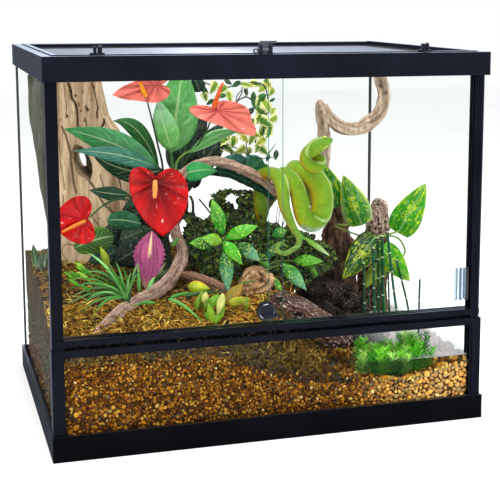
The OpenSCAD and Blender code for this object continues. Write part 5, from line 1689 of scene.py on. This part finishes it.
def gold_dust():
    m = m_leaf("gold_dust_leaf", "dots", veins=6.0, rib=0.1, rough=0.3, alt=S(222, 232, 96), thin=0.2)
    a = Acc()
    for i, (b, t, w, c) in enumerate([((223, 235, -84), (212, 199, -92), 14.5, S(30, 144, 24)), ((225, 239, -84), (258, 226, -96), 13.5, S(56, 164, 10)), ((222, 242, -88), (202, 238, -96), 12.5, S(120, 176, 12)),
                                      ((214, 245, -84), (189.5, 243, -90), 13.5, S(18, 96, 26)), ((223, 241, -88), (242.5, 265, -104), 13, S(60, 172, 10)), ((225, 249, -88), (228, 292, -104), 14.5, S(18, 110, 30)),
                                      ((237, 243, -80), (259.5, 261, -88), 14, S(26, 100, 40)), ((282, 263, -74), (306.5, 290.5, -96), 13.5, S(34, 128, 16)), ((293, 261, -60), (323, 261.5, -78), 11.5, S(66, 168, 10)),
                                      ((273, 276, -70), (283, 296, -84), 6, S(40, 130, 20)), ((272, 236, -44), (287, 230, -50), 11, S(24, 128, 40)), ((262, 262, -60), (285, 240, -60), 9, S(20, 90, 40)),
                                      ((306, 262, -56), (318, 276, -60), 6, S(40, 120, 20)), ((252, 250, -50), (270, 268, -60), 10, S(22, 80, 26))]):
        pleaf(a, b, t, w, "lance", c, bow=0.08, fold=0.22, nt=16, ns=7, seed=i, tip=S(130, 196, 160) if i in (5, 6, 7) else S(110, 190, 60), sag=0.03)
    a.build("gold_dust_leaves", m, replaces=("gold_dust_plant",), slot="variegated_leaf")
    b = Acc()
    pleaf(b, (304, 237, -56), (330, 256, -60), 5.5, "lance", S(150, 204, 50), bow=0.06, seed=31, tip=S(222, 236, 190))
    pleaf(b, (290, 228, -52), (306, 240, -56), 8, "lance", S(90, 190, 40), bow=0.06, seed=32)
    pstem(b, [(223, 238, -86), (224, 262, -80), (226, 290, -76)], [1.2, 1.3, 1.6], S(90, 96, 40))
    for u, v in ((212, 240), (236, 243), (225, 249)):
        pstem(b, [(u, v, -84), ((u + 223) / 2, (v + 240) / 2 + 2, -84), (223, 239, -86)], [0.6, 0.8], S(120, 130, 50))
    pstem(b, [(283, 264, -72), (262, 272, -66), (240, 284, -74)], [0.9, 1.1], S(90, 110, 40))
    pstem(b, [(294, 261, -60), (274, 262, -56), (256, 276, -66)], [0.9, 1.1], S(90, 110, 40))
    b.build("gold_dust_stems", ML_PLAIN, replaces=("gold_dust_plant",), slot="variegated_leaf")


gold_dust()


def shrub():
    m = m_leaf("shrub_leaf", "dots", veins=4.0, rib=0.2, rough=0.42, alt=S(190, 200, 60), thin=0.12)
    g = rng(61)
    a = Acc()
    area_px = [(184, 214), (206, 221), (213, 196), (224, 190), (262, 192), (262, 222), (300, 232), (330, 246), (340, 262), (318, 276), (300, 290), (252, 292), (228, 288), (186, 264)]
    gaps = [(198, 205, 12), (208, 190, 6), (231, 199, 6.5), (236, 206, 4), (213, 212, 5)]
    n = 0
    while n < 1900:
        u, v = g.uniform(180, 344), g.uniform(186, 294)
        if not inside_poly(u, v, area_px) or any(math.hypot(u - x, v - y) < r for x, y, r in gaps):
            continue
        y = g.uniform(-26, 66)
        th = g.uniform(0, 2 * math.pi)
        L = g.uniform(4.5, 9.5)
        c = [S(14, 44, 16), S(24, 66, 14), S(40, 88, 16), S(10, 30, 16), S(72, 108, 20), S(18, 60, 36), S(24, 38, 20)][g.integers(7)]
        du, dv = L * math.cos(th), L * math.sin(th) * 0.9
        if y < 0 and not (u < 262 and v > 215 or v > 240):
            y = g.uniform(10, 66)
        pleaf(a, (u - du / 2, v - dv / 2, y), (u + du / 2, v + dv / 2, y + g.uniform(-7, 7)), g.uniform(2.6, 5.0), "lance", c, bow=0.1, fold=0.2, nt=6, ns=3, th=0.5, roll=g.uniform(-40, 40), seed=n)
        n += 1
    # painted shade: near-black core leaves deep in the bush stand for the shade between the outer leaves
    n = 0
    while n < 620:
        u, v = g.uniform(180, 344), g.uniform(200, 294)
        if not inside_poly(u, v, area_px) or any(math.hypot(u - x, v - y) < r + 1 for x, y, r in gaps):
            continue
        th = g.uniform(0, 2 * math.pi)
        L = g.uniform(9, 15)
        du, dv = L * math.cos(th), L * math.sin(th) * 0.9
        c = [S(8, 22, 10), S(16, 36, 10), S(26, 30, 16), S(30, 24, 14)][n % 4]
        pleaf(a, (u - du / 2, v - dv / 2, g.uniform(70, 96)), (u + du / 2, v + dv / 2, g.uniform(70, 96)), g.uniform(5, 9), "ovate", c, bow=0.1, nt=5, ns=3, th=0.5, roll=g.uniform(-25, 25), seed=n)
        n += 1
    a.build("shrub_leaves", m, replaces=("ground_shrub",), slot="dark_leaf")
    s = Acc()
    k = S(46, 40, 24)
    for i in range(22):
        u0 = g.uniform(205, 300)
        u1 = u0 + g.uniform(-26, 26)
        pstem(s, [(u0, 290, 20 + 2 * i), ((u0 + u1) / 2 + g.uniform(-6, 6), 255, 30), (u1, g.uniform(200, 236), 20 + 2 * i)], [0.8, 0.6, 0.35], k, 6)
    pstem(s, [(189, 262, 20), (192, 235, 24), (193, 205, 28), (190, 196, 24)], [1.7, 1.5, 1.2], S(14, 40, 22))
    pstem(s, [(199, 199, 26), (208, 210, 24), (216, 222, 20)], [0.8, 0.8], S(10, 26, 16))
    s.build("shrub_twigs", ML_DARK, replaces=("ground_shrub",), slot="dark_leaf")


shrub()


def ivy():
    m = m_leaf("ivy_leaf", "edge", veins=3.0, rib=0.2, rough=0.36, thin=0.3)
    g = rng(23)
    a, d = Acc(), Acc()
    spots = [(213, 88, 11), (222, 90, 10), (230, 97, 9), (205, 97, 8), (247, 85, 9), (256, 84, 10), (263, 88, 10), (268, 83, 8), (271, 92, 8), (260, 102, 12), (267, 107, 11), (262, 112, 10), (259, 119, 13), (266, 122, 12), (272, 119, 9),
             (252, 124, 9), (263, 131, 11), (268, 134, 8), (256, 134, 8), (245, 139, 8), (252, 140, 10), (233, 142, 10), (240, 150, 10), (229, 149, 9), (222, 143, 11), (236, 154, 7), (260, 142, 10), (264, 151, 9), (257, 149, 7), (248, 152, 8),
             (219, 150, 8), (226, 138, 9), (241, 133, 8), (270, 128, 7), (273, 112, 7)]
    for i, (u, v, w) in enumerate(spots):
        th = g.uniform(0.3, 2.8)
        y = float(np.interp(u, [200, 240, 275], [70, 34, 14])) + g.uniform(-14, 14)
        c = [S(104, 150, 14), S(70, 140, 16), S(150, 176, 24), S(40, 116, 16)][i % 4]
        du, dv = math.cos(th) * w * 0.62, math.sin(th) * w * 0.62
        pleaf(a, (u - du, v - dv, y), (u + du, v + dv, y - 6), w * g.uniform(0.85, 1.1), "heart", c, bow=0.12, fold=g.uniform(0.0, 0.5), nt=9, ns=7, roll=g.uniform(-45, 45), wave=0.18, seed=i)
    a.build("ivy_leaves", m, replaces=("ivy_vine",), slot="variegated_leaf")
    for i, (u, v, w) in enumerate([(253, 98, 11), (256, 106, 12), (250, 112, 10), (248, 120, 10), (251, 130, 9), (228, 82, 8), (236, 84, 9), (222, 96, 8), (276, 155, 9), (268, 158, 7), (240, 160, 9), (246, 92, 7), (232, 152, 8),
                                   (262, 96, 8), (257, 144, 7), (272, 100, 6), (266, 166, 7), (204, 90, 10), (210, 102, 8)]):
        th = g.uniform(0.2, 2.9)
        du, dv = math.cos(th) * w * 0.6, math.sin(th) * w * 0.6
        y = float(np.interp(u, [200, 240, 275], [76, 40, 18]))
        pleaf(d, (u - du, v - dv, y), (u + du, v + dv, y - 4), w * 0.6, "lance", [S(16, 90, 16), S(24, 120, 20), S(8, 60, 34)][i % 3], bow=0.1, nt=8, ns=5, roll=g.uniform(-40, 40), seed=i)
    k = S(18, 40, 40)
    pstem(d, [(241, 82, 40), (242, 92, 38), (238, 100, 36), (235.5, 110, 34), (238, 122, 30)], [0.5, 0.6, 0.6], k)
    pstem(d, [(242, 90, 38), (237, 96, 38), (236, 104, 37), (236, 112, 35)], [0.5, 0.5], k)
    pstem(d, [(237, 101, 36), (246, 97, 36), (254, 102, 34), (262, 110, 30), (264, 124, 26), (262, 140, 24)], [0.7, 0.7, 0.6], k)
    pstem(d, [(248, 84, 40), (247, 91, 38), (245, 97, 36)], [0.45, 0.45], k)
    pstem(d, [(203, 82, 80), (222, 88, 60), (241, 84, 42), (262, 84, 24), (268, 100, 20), (266, 120, 18)], [0.6, 0.7, 0.6], k)
    pstem(d, [(248, 128, 30), (246, 142, 26), (250, 156, 22), (262, 158.5, 16), (274, 157, 12)], [0.7, 0.5, 0.35], k)
    pstem(d, [(268, 154, 14), (272, 149, 12), (276, 143, 12)], [0.8, 0.5, 0.2], S(70, 110, 90))
    pstem(d, [(203, 140, 70), (220, 144, 60), (236, 148, 44), (250, 156, 24)], [0.6, 0.6], k)
    d.build("ivy_vines", ML_PLAIN, replaces=("ivy_vine",), slot="variegated_leaf")


ivy()


def tuft():
    g = rng(3)
    a = Acc()
    base = (127, 301, -140)
    cols = [S(50, 128, 24), S(96, 164, 70), S(20, 76, 22), S(130, 196, 110), S(60, 140, 34)]
    tips = [(64, 283), (63, 293), (66, 306), (76, 317), (90, 321), (100, 274), (88, 268), (80, 275), (115, 262), (122, 268), (66, 276), (144, 271), (138, 263), (84, 301), (72, 288), (95, 290), (108, 280), (70, 299),
            (132, 272), (104, 268), (118, 276), (92, 312), (78, 308)]
    for i, (u, v) in enumerate(tips):
        y1 = -140 + g.uniform(-46, 20)
        B = PY(base[0] + g.uniform(-4, 4), base[1] + g.uniform(-3, 2), base[2] + g.uniform(-6, 6))
        T = PY(u, v, max(y1, -196))
        T[0] = max(T[0], -293)
        leaf(a, B, T, g.uniform(2.0, 3.2) * 1.45, "blade", cols[i % 5], bow=0.02, sag=0.13 + 0.1 * g.random(), fold=0.5, nt=14, ns=3, th=0.5, tip=cols[(i + 1) % 5], seed=i, roll=g.uniform(-30, 30))
    # blades to the right of the branch and across it
    for i, (b, t, s) in enumerate([((168, 299, -150), (206, 327, -186), 0.1), ((150, 285, -110), (170, 268, -110), 0.02), ((148, 290, -120), (160, 262, -110), 0.0), ((155, 303, -150), (132, 306, -160), 0.06),
                                   ((170, 298, -150), (196, 293, -150), 0.06), ((139, 292, -120), (138, 262, -118), 0.02), ((185, 296, -140), (226, 291, -130), 0.02), ((126, 296, -140), (86, 252, -120), 0.12),
                                   ((172, 246, -60), (180, 236, -50), 0.0)]):
        pleaf(a, b, t, 4.0, "blade", cols[(i + 1) % 5], sag=s, fold=0.5, nt=14, ns=3, th=0.5, seed=60 + i)
    # dark leaves that rise behind the side pane
    for (u0, v0), (u1, v1), w, s in (((37, 270), (33, 244), 12, 90), ((41, 270), (43, 250), 10, 91), ((33, 272), (29, 262), 7, 92), ((45, 268), (49, 247), 8, 93)):
        d0, d1 = ray(u0, v0), ray(u1, v1)
        leaf(a, EYE + d0 * ((-289 - EYE[0]) / d0[0]), EYE + d1 * ((-289 - EYE[0]) / d1[0]), w, "ovate", S(34, 74, 30), bow=0.04, fold=0.2, nt=10, ns=5, seed=s)
    # lime-green shoots by the side pane
    for i in range(9):
        u, v = g.uniform(62, 84), g.uniform(262, 286)
        leaf(a, PY(u + 12, v + 8, -150), PY(u, v, -160), 5.0, "lance", [S(100, 176, 20), S(70, 150, 16), S(150, 200, 50)][i % 3], sag=0.05, nt=8, ns=5, seed=80 + i)
    a.build("grass_blades", m_leaf("grass_blade", veins=1.0, rib=0.25, rough=0.34, thin=0.15), replaces=("grass_tuft",), slot="green_leaf")

    b = Acc()
    m = Mat("bromeliad_leaf")
    uv = m.xyz(m.uv())
    aa = m.math("MULTIPLY", m.math("ABSOLUTE", m.math("SUBTRACT", uv[0], 0.5)), 2.0)
    st = m.noise(m.join(m.math("MULTIPLY", m.math("ADD", uv[0], m.math("MULTIPLY", uv[1], 0.12)), 26.0), m.math("MULTIPLY", uv[1], 2.4), 0.0), 1.0, 3, 0.6)
    c = m.mix(m.step(st, 0.35, 0.68), m.mix(1.0, m.col(), (0.4, 0.34, 0.44), "MULTIPLY"), m.mix(1.0, m.col(), (1.3, 1.35, 1.3), "MULTIPLY"))
    stripe = m.math("MULTIPLY", m.math("SUBTRACT", 1.0, m.step(aa, 0.03, 0.17)), m.step(uv[1], 0.5, 0.7))
    c = m.mix(stripe, c, S(206, 176, 130))
    c = m.mix(m.math("MULTIPLY", m.step(uv[1], 0.25, 0.0), 0.7), c, S(150, 130, 90))
    m.bsdf(c, 0.45, spec=0.15, normal=m.bump(st, 0.0006, 0.7))
    leaf(b, PY(145.5, 290, -116), PY(152, 231, -112), 29 * 1.46, "serr", S(148, 66, 104), bow=0.06, fold=0.16, nt=64, ns=15, th=1.2, seed=1)
    leaf(b, PY(145, 288, -112), PY(139, 262, -96), 9, "lance", S(110, 120, 60), bow=0.06, fold=0.3, seed=2)
    leaf(b, PY(147, 288, -112), PY(166, 262, -90), 9, "lance", S(120, 110, 80), bow=0.06, fold=0.3, seed=3)
    leaf(b, PY(146, 288, -108), PY(152, 244, -86), 22, "obov", S(120, 54, 84), bow=0.06, fold=0.3, seed=4)
    b.build("bromeliad_leaves", m.m, replaces=("bromeliad",), slot="pink_leaf")

    p = Acc()
    yg, ol, lime = S(190, 196, 30), S(150, 124, 20), S(150, 196, 20)
    pleaf(p, (188, 286, -120), (210, 289, -130), 13, "ovate", yg, bow=0.2, fold=0.4, seed=1, edge=S(214, 140, 40), half=S(160, 190, 20))
    pleaf(p, (201, 309, -140), (202, 291, -146), 8, "obov", S(150, 176, 30), bow=0.16, fold=-0.3, seed=2)
    pleaf(p, (204, 305, -150), (206, 292, -152), 7, "obov", S(226, 220, 120), bow=0.2, fold=0.4, seed=3)
    pleaf(p, (208, 307, -146), (219, 294, -140), 9, "ovate", S(120, 176, 20), bow=0.1, fold=0.3, seed=4)
    pleaf(p, (214, 325, -170), (208, 303, -160), 8, "lance", lime, bow=0.1, fold=0.4, seed=5)
    pleaf(p, (215, 324, -172), (225, 305, -160), 7, "lance", S(130, 186, 10), bow=0.1, fold=0.4, seed=6)
    pleaf(p, (217, 318, -168), (223, 293, -156), 8.5, "obov", S(214, 210, 120), bow=0.2, fold=-0.3, seed=7, edge=S(150, 170, 40))
    pleaf(p, (226, 303, -130), (243, 283, -120), 12, "ovate", ol, bow=0.1, fold=0.2, seed=8, half=S(176, 130, 24))
    pleaf(p, (228, 303, -146), (250, 299, -140), 9, "ovate", S(170, 172, 24), bow=0.12, fold=0.2, seed=9)
    pleaf(p, (238, 283, -116), (256, 281, -110), 3, "lance", S(110, 120, 30), bow=0.1, seed=10)
    pleaf(p, (196, 311, -150), (199, 295, -150), 6, "lance", S(110, 150, 20), bow=0.1, fold=0.3, seed=11)
    pleaf(p, (212, 322, -166), (204, 312, -160), 5, "lance", S(96, 160, 10), bow=0.1, fold=0.3, seed=12)
    for u, v, y in ((205, 305, -150), (220, 303, -156), (246, 304, -150)):
        pleaf(p, (u, v + 9, y), (u + 1, v - 9, y), 4, "lance", S(120, 150, 30), bow=0.3, seed=int(u))
    p.build("pitcher_leaves", m_leaf("pitcher_leaf", veins=5.0, rib=0.2, rough=0.3, thin=0.25), replaces=("pitcher_plants",), slot="green_leaf")


tuft()


def reeds():
    m = Mat("horsetail")
    uv = m.xyz(m.uv())
    L = m.math("PINGPONG", uv[1], 15.0)
    node = m.math("SUBTRACT", 1.0, m.step(L, 0.7, 1.3))
    dark = m.math("SUBTRACT", 1.0, m.step(L, 1.6, 2.4))
    n1 = m.noise(m.coord(), 90, 3)
    st = m.math("PINGPONG", m.math("MULTIPLY", uv[0], 9.0), 0.5)
    c = m.mix(m.step(n1, 0.35, 0.65), m.col(), m.mix(1.0, m.col(), (0.4, 0.6, 0.7), "MULTIPLY"))
    # painted shade: the grooves between the ribs are darkened
    c = m.mix(m.math("MULTIPLY", m.step(st, 0.35, 0.15), 0.35), c, (0.01, 0.03, 0.02))
    c = m.mix(dark, c, (0.008, 0.015, 0.01))
    c = m.mix(node, c, S(170, 186, 150))
    m.bsdf(c, 0.45, spec=0.15, normal=m.bump(st, 0.0003, 0.5))
    a = Acc()
    g = S(12, 74, 40)
    for i, (pts, r) in enumerate([([(363.5, 265, -30), (364.2, 290, -30), (365, 322, -30)], 1.35), ([(373.4, 250, -34), (374, 290, -34), (375, 324, -34)], 1.4), ([(377.7, 240, -32), (378.4, 290, -32), (379, 324, -32)], 1.6),
                                  ([(382, 238, -38), (382.6, 290, -38), (384, 326, -38)], 1.7), ([(387.5, 234, -36), (390.5, 262, -38), (394, 292, -40), (399, 326, -42)], 1.45), ([(397, 262, -26), (401.6, 280, -28), (406.5, 300, -30), (412, 330, -34)], 1.25),
                                  ([(419.8, 281, -92), (419.2, 300, -92), (418.5, 334, -92)], 1.1), ([(368, 276, 34), (369, 300, 34), (370, 322, 34)], 1.0), ([(388, 262, 26), (389, 300, 26), (390, 322, 26)], 1.1)]):
        P = cr(np.array([PY(*q) for q in pts]), 10)
        tube(a, P, r * 1.5, 10, [g, S(14, 90, 60), S(20, 84, 36)][i % 3])
        tube(a, np.array([P[0] + [0, 0, 3.5], P[0] + [0, 0, 1], P[0] + [0, 0, -1]]), r * 1.55, 8, S(14, 16, 16))
    a.build("horsetail_stems", m.m, replaces=("horsetail_reeds",), slot="reed_green")


reeds()


def feathers():
    g = rng(71)
    P, R, C = [], [], []
    acc = Acc()
    for cx, cy, n, rx, ry, z0, z1 in ((152, -184, 15, 28, 22, 64, 122), (186, -186, 15, 24, 20, 64, 112), (216, -182, 18, 15, 22, 66, 127), (200, -190, 9, 14, 16, 66, 110)):
        for i in range(n):
            th = g.uniform(0, 2 * math.pi)
            q = math.sqrt(g.random())
            x, y = cx + rx * q * math.cos(th), cy + ry * q * math.sin(th)
            top = z1 - 14 * q - g.uniform(0, 14)
            k = 6
            lean = g.normal(0, 5, 2)
            t = np.linspace(0, 1, k)
            stem = np.stack([x + lean[0] * t ** 1.5 + (x - cx) * 0.25 * t, y + lean[1] * t ** 1.5 + (y - cy) * 0.2 * t, z0 + (top - z0) * t], 1)
            P.append(stem)
            R.append(0.7)
            c = np.array([S(84, 176, 24), S(132, 214, 60), S(44, 126, 14), S(176, 236, 110)][g.integers(4)])
            C.append(c * 0.8)
            for z in np.arange(0.12, 1.02, 0.085):
                p0 = np.array([np.interp(z, t, stem[:, d]) for d in range(3)])
                for w in range(5):
                    a = w * math.pi / 2.5 + z * 20
                    ln = 12.5 * (1.15 - 0.6 * z)
                    e = np.array([math.cos(a), math.sin(a), 0.55 + 0.5 * z])
                    tt = np.linspace(0, 1, k)[:, None]
                    P.append(p0 + e * ln * tt + np.array([0, 0, -1.2]) * tt ** 2)
                    R.append(0.62)
                    # painted shade: leaflets below the water line (z 88) are darkened
                    C.append(c * g.uniform(0.35, 1.6) * (0.34 + 0.8 * (p0[2] > 88)))
    P, R, C = np.array(P), np.array(R), np.clip(np.array(C), 0, 1)
    P[..., 0] = np.clip(P[..., 0], 112, 252)
    P[..., 1] = np.clip(P[..., 1], -213, 215)
    strands(acc, P, R[:, None] * np.array([1, 1, 0.95, 0.9, 0.8, 0.4])[None], C)
    m = Mat("pond_plant")
    n1 = m.noise(m.coord(), 200, 3)
    m.bsdf(m.mix(m.step(n1, 0.4, 0.65), m.col(), m.mix(1.0, m.col(), (0.5, 0.7, 0.4), "MULTIPLY")), 0.5, spec=0.15)
    acc.build("pond_plant_fronds", m.m, replaces=("pond_plants",), slot="green_leaf")


feathers()


# ------------------------------------------------------------------ snake
SNAKE = [(331.8, 139.6, -100, 2.4), (326.5, 141.6, -99, 6.0), (318, 145.4, -97, 8.2), (310.8, 150.6, -95, 7.2), (305.3, 157, -94, 5.9), (307.3, 163.6, -95, 5.7), (313.6, 167.3, -97, 5.8), (319.8, 165.6, -97, 5.7), (321, 160.8, -91, 5.5), (316.5, 157.8, -84, 5.4),
         (311, 156, -74, 5.5), (308, 156.5, -60, 5.7), (307.5, 161, -44, 5.8), (308, 171, -32, 6.0), (307.5, 183, -28, 6.4), (307, 193, -24, 6.8), (306.5, 200, -8, 7.0), (304.5, 195, 10, 7.2), (301, 184, 16, 7.6), (297.5, 174, 8, 8.4), (295.2, 169.5, -12, 9.4),
         (297, 170.8, -36, 10.0), (303.5, 172.4, -52, 10.4), (311, 176, -60, 10.8), (318, 183.6, -66, 11), (321.2, 194, -68, 11.1), (321.4, 206, -69, 11.0), (319, 216.4, -70, 10.8), (313, 222, -71, 10.2), (306.4, 220.5, -72, 9.3),
         (302, 212.5, -73, 8.7), (299.6, 201, -74, 8.4), (296.6, 189.5, -73, 8.2), (291.8, 180.5, -66, 8.0), (286.6, 175.5, -50, 7.7), (282.6, 174.5, -28, 7.3), (280, 179, -8, 6.9), (278.5, 186, 8, 6.9), (274, 192.5, 26, 7.0), (268, 199, 34, 7.1),
         (263, 207, 34, 7.1), (261, 214.5, 30, 7.0), (260.3, 219, 18, 6.9), (260.5, 213, 6, 6.9), (260.5, 204, 3, 6.9), (260, 193, 10, 6.9), (259.5, 184.5, 18, 6.8), (260, 178, 15, 6.8),
         (264, 174.6, 3, 6.9), (270, 174, -16, 7.1), (275.6, 175.6, -40, 7.3), (280.2, 180.6, -64, 7.3), (282.4, 188, -78, 7.0), (283, 197, -81, 6.4), (284.6, 207, -80, 5.6), (288.5, 217.5, -79, 4.6), (293.6, 228.5, -78, 3.8),
         (298.6, 237, -79, 3.2), (298.3, 244.5, -80, 2.8), (292, 250.2, -80, 2.6), (285, 253.6, -79, 2.4), (278.4, 251.5, -77, 2.2), (277.6, 246.4, -75, 1.9), (282.2, 244.0, -73, 1.6), (287, 246.6, -72, 1.0)]


def snake():
    P = np.array([PY(u, v, y) for u, v, y, r in SNAKE])
    R = np.array([q[3] * pxmm(p) for q, p in zip(SNAKE, P)])
    q = cr(np.c_[P, R], 9)
    p, rad = q[:, :3], np.maximum(q[:, 3], 1.0)
    m, n = len(p), 40
    t, A, B = frames(p)
    ang = np.arange(n + 1) * 2 * math.pi / n
    e = np.cos(ang)[None, :, None] * A[:, None] + np.sin(ang)[None, :, None] * B[:, None]
    d = np.r_[0, np.cumsum(np.linalg.norm(np.diff(p, axis=0), axis=1))]
    # keeled back: the section rises to a soft ridge on the outer side, the belly is flatter
    rd = np.array([0.66, -0.22, 0.72])
    rd = rd[None] - t * (t @ rd)[:, None]
    ln = np.linalg.norm(rd, axis=1, keepdims=True)
    for i in range(1, m):
        if ln[i, 0] < 0.45:
            w0 = ln[i, 0] / 0.45
            rd[i] = rd[i] * w0 + (rd[i - 1] - t[i] * np.dot(t[i], rd[i - 1])) * (1 - w0)
    rd /= np.linalg.norm(rd, axis=1, keepdims=True) + 1e-9
    c = (e * rd[:, None]).sum(2)
    head = np.clip(1 - d / 44, 0, 1)[:, None]
    k = 1 + 0.05 * np.clip((c - 0.8) / 0.2, 0, 1) * (1 - head) - 0.04 * np.clip(-c - 0.6, 0, 1)
    k = k * (1 + 0.012 * vn((p[:, None] + e * rad[:, None, None]).reshape(-1, 3), 0.05, 3, 2).reshape(m, n + 1) * 2)
    side = (e * np.cross(t, rd)[:, None]).sum(2)
    k = k * (1 + head * (0.14 * side ** 2 * np.clip((d / 34)[:, None], 0, 1) - 0.16 * c ** 2))
    V = p[:, None] + e * (rad[:, None] * k)[:, :, None]
    # skin colours by height round the body
    back, ridge, belly, pale = np.array(S(122, 166, 26)), np.array(S(206, 222, 150)), np.array(S(208, 186, 30)), np.array(S(186, 214, 196))
    flank = np.array(S(148, 178, 30))
    f = lambda x, lo, hi: np.clip((x - lo) / (hi - lo), 0, 1)[..., None]
    col = flank * (1 - f(c, -0.1, 0.6)) + back * f(c, -0.1, 0.6)
    col = col * (1 - 0.85 * f(c, 0.93, 0.985)) + ridge * 0.85 * f(c, 0.93, 0.985)
    col = col * (1 - f(-c, 0.25, 0.75)) + belly * f(-c, 0.25, 0.75)
    col = col * (1 - 0.8 * f(-c, 0.75, 0.97)) + np.array(S(206, 132, 20)) * 0.8 * f(-c, 0.75, 0.97)
    # painted sheen: downward faces low on the coils are turned pale blue-white
    low = np.clip((278 - V[..., 2]) / 12, 0, 1) * np.clip(-e[..., 2] - 0.35, 0, 1) * 3 * (V[..., 0] > 78)
    col = col * (1 - np.clip(low, 0, 1)[..., None]) + pale * np.clip(low, 0, 1)[..., None]
    # slender tail is paler and cooler, hidden stretches in shade are olive
    tail = np.clip((d - (d[-1] - 150)) / 90, 0, 1)[:, None, None]
    col = col * (1 - 0.45 * tail) + np.array(S(150, 196, 110)) * 0.45 * tail
    shade = 1 - 0.55 * np.clip((V[..., 1] + 20) / 30, 0, 1) * np.clip((318 - V[..., 2]) / 16, 0, 1)
    hd = head[..., None] * np.ones_like(col)
    col = col * (1 - 0.6 * hd) + np.array(S(104, 170, 48)) * 0.6 * hd
    blot = 1 + 0.13 * vn(V.reshape(-1, 3), 0.09, 7, 3).reshape(m, n + 1)[..., None]
    col = np.clip(col * shade[..., None] * blot, 0, 1)
    U = np.stack([np.tile(ang / (2 * math.pi), (m, 1)), np.repeat(d[:, None], n + 1, 1)], -1)
    a = (np.arange(m - 1)[:, None] * (n + 1) + np.arange(n)[None]).ravel()
    acc = Acc()
    acc.add(V.reshape(-1, 3), np.stack([a, a + 1, a + n + 2, a + n + 1], 1), U.reshape(-1, 2), col.reshape(-1, 3))
    for r, s in ((0, -1), (m - 1, 1)):
        W = np.r_[V[r, :n], [p[r] + t[r] * rad[r] * 0.5 * s]]
        kk = np.arange(n)
        F = np.stack([np.full(n, n), (kk + 1) % n, kk], 1) if s < 0 else np.stack([np.full(n, n), kk, (kk + 1) % n], 1)
        acc.add(W, F, None, col[r, 0])
    g = Mat("snake_scales")
    uv = g.xyz(g.uv())
    u1 = g.math("MULTIPLY", uv[0], 27.0)
    v1 = g.math("MULTIPLY", uv[1], 0.27)
    a1 = g.math("PINGPONG", g.math("ADD", u1, v1), 0.5)
    a2 = g.math("PINGPONG", g.math("SUBTRACT", u1, v1), 0.5)
    cell = g.math("MINIMUM", a1, a2)
    h = g.step(cell, 0.0, 0.24)
    n1 = g.noise(g.coord(), 420, 3, 0.6)
    n2 = g.noise(g.coord(), 60, 3, 0.6)
    cc = g.mix(g.step(cell, 0.02, 0.15), g.mix(1.0, g.col(), (0.34, 0.44, 0.14), "MULTIPLY"), g.col())
    cc = g.mix(g.math("MULTIPLY", g.step(n1, 0.42, 0.66), 0.35), cc, g.mix(1.0, g.col(), (1.35, 1.2, 1.1), "MULTIPLY"))
    cc = g.mix(g.math("MULTIPLY", g.step(n2, 0.45, 0.68), 0.42), cc, g.mix(1.0, g.col(), (0.6, 0.8, 0.6), "MULTIPLY"))
    w1 = g.noise(g.join(g.math("MULTIPLY", uv[0], 3.0), g.math("MULTIPLY", uv[1], 0.34), 0.0), 1.0, 4, 0.65)
    cc = g.mix(g.math("MULTIPLY", g.step(w1, 0.52, 0.64), 0.6), cc, g.mix(1.0, cc, (0.45, 0.6, 0.3), "MULTIPLY"))
    g.bsdf(cc, 0.42, spec=0.2, normal=g.bump(w1, 0.002, 0.6, g.bump(h, 0.0008, 0.9)))
    acc.build("snake_body", g.m, replaces=("snake",), slot="snake_skin")
    # eye, brow and mouth line
    ac = Acc()
    hc = PY(325.2, 138.2, -103.5)
    v, fc = ICO[3]
    ac.add(v * 1.9 + hc, fc, None, S(104, 110, 40))
    ac.add(v * [3.4, 3.0, 2.2] + hc + [0, 1.6, 1.2], fc, None, S(176, 200, 70))
    mouth = cr(np.array([PY(*q) for q in ((331.2, 141.5, -103), (327.6, 145.2, -106), (322.6, 148.8, -107), (317.2, 151.2, -105))]), 6)
    tube(ac, mouth, np.interp(np.arange(len(mouth)), [0, 6, 18], [0.7, 1.1, 0.6]), 8, S(232, 222, 120))
    tube(ac, mouth + [0, -0.5, 1.5], 0.42, 6, S(60, 80, 20))
    g = Mat("snake_head_detail")
    n1 = g.noise(g.coord(), 500, 3)
    g.bsdf(g.mix(g.step(n1, 0.4, 0.7), g.col(), g.mix(1.0, g.col(), (0.7, 0.8, 0.6), "MULTIPLY")), 0.25, spec=0.4)
    ac.build("snake_head_detail", g.m, replaces=("snake",), slot="snake_skin")


snake()


# ------------------------------------------------------------------ lid screen: crossed steel wires
def screen():
    X, Y, r = 284.4, 207.9, 0.21
    V, F = [], []
    sec = np.array([[1, 0], [0, 1], [-1, 0], [0, -1]], float)
    xs = np.linspace(-X + 1.1, X - 1.1, 244)
    ys = np.linspace(-Y + 1.1, Y - 1.1, 178)
    for c, z, half, ax in ([(x, 517.21, Y, 1) for x in xs] + [(y, 517.59, X, 0) for y in ys]):
        b = len(V)
        for s in (-half, half):
            for q in sec:
                V.append((c + q[0] * r, s, z + q[1] * r) if ax == 1 else (s, c + q[0] * r, z + q[1] * r))
        for k in range(4):
            F.append((b + k, b + (k + 1) % 4, b + 4 + (k + 1) % 4, b + 4 + k))
        F.append((b + 3, b + 2, b + 1, b))
        F.append((b + 4, b + 5, b + 6, b + 7))
    acc = Acc()
    acc.add(V, F, None, (1, 1, 1))
    acc.build("lid_screen_wires", m_plain("screen_wire", (0.34, 0.38, 0.46), 0.36, scale=500, metal=0.75, var=0.2), body="lid", replaces=("lid_mesh",), slot="screen_wire")


screen()


# ------------------------------------------------------------------ end
bpy.context.view_layer.update()
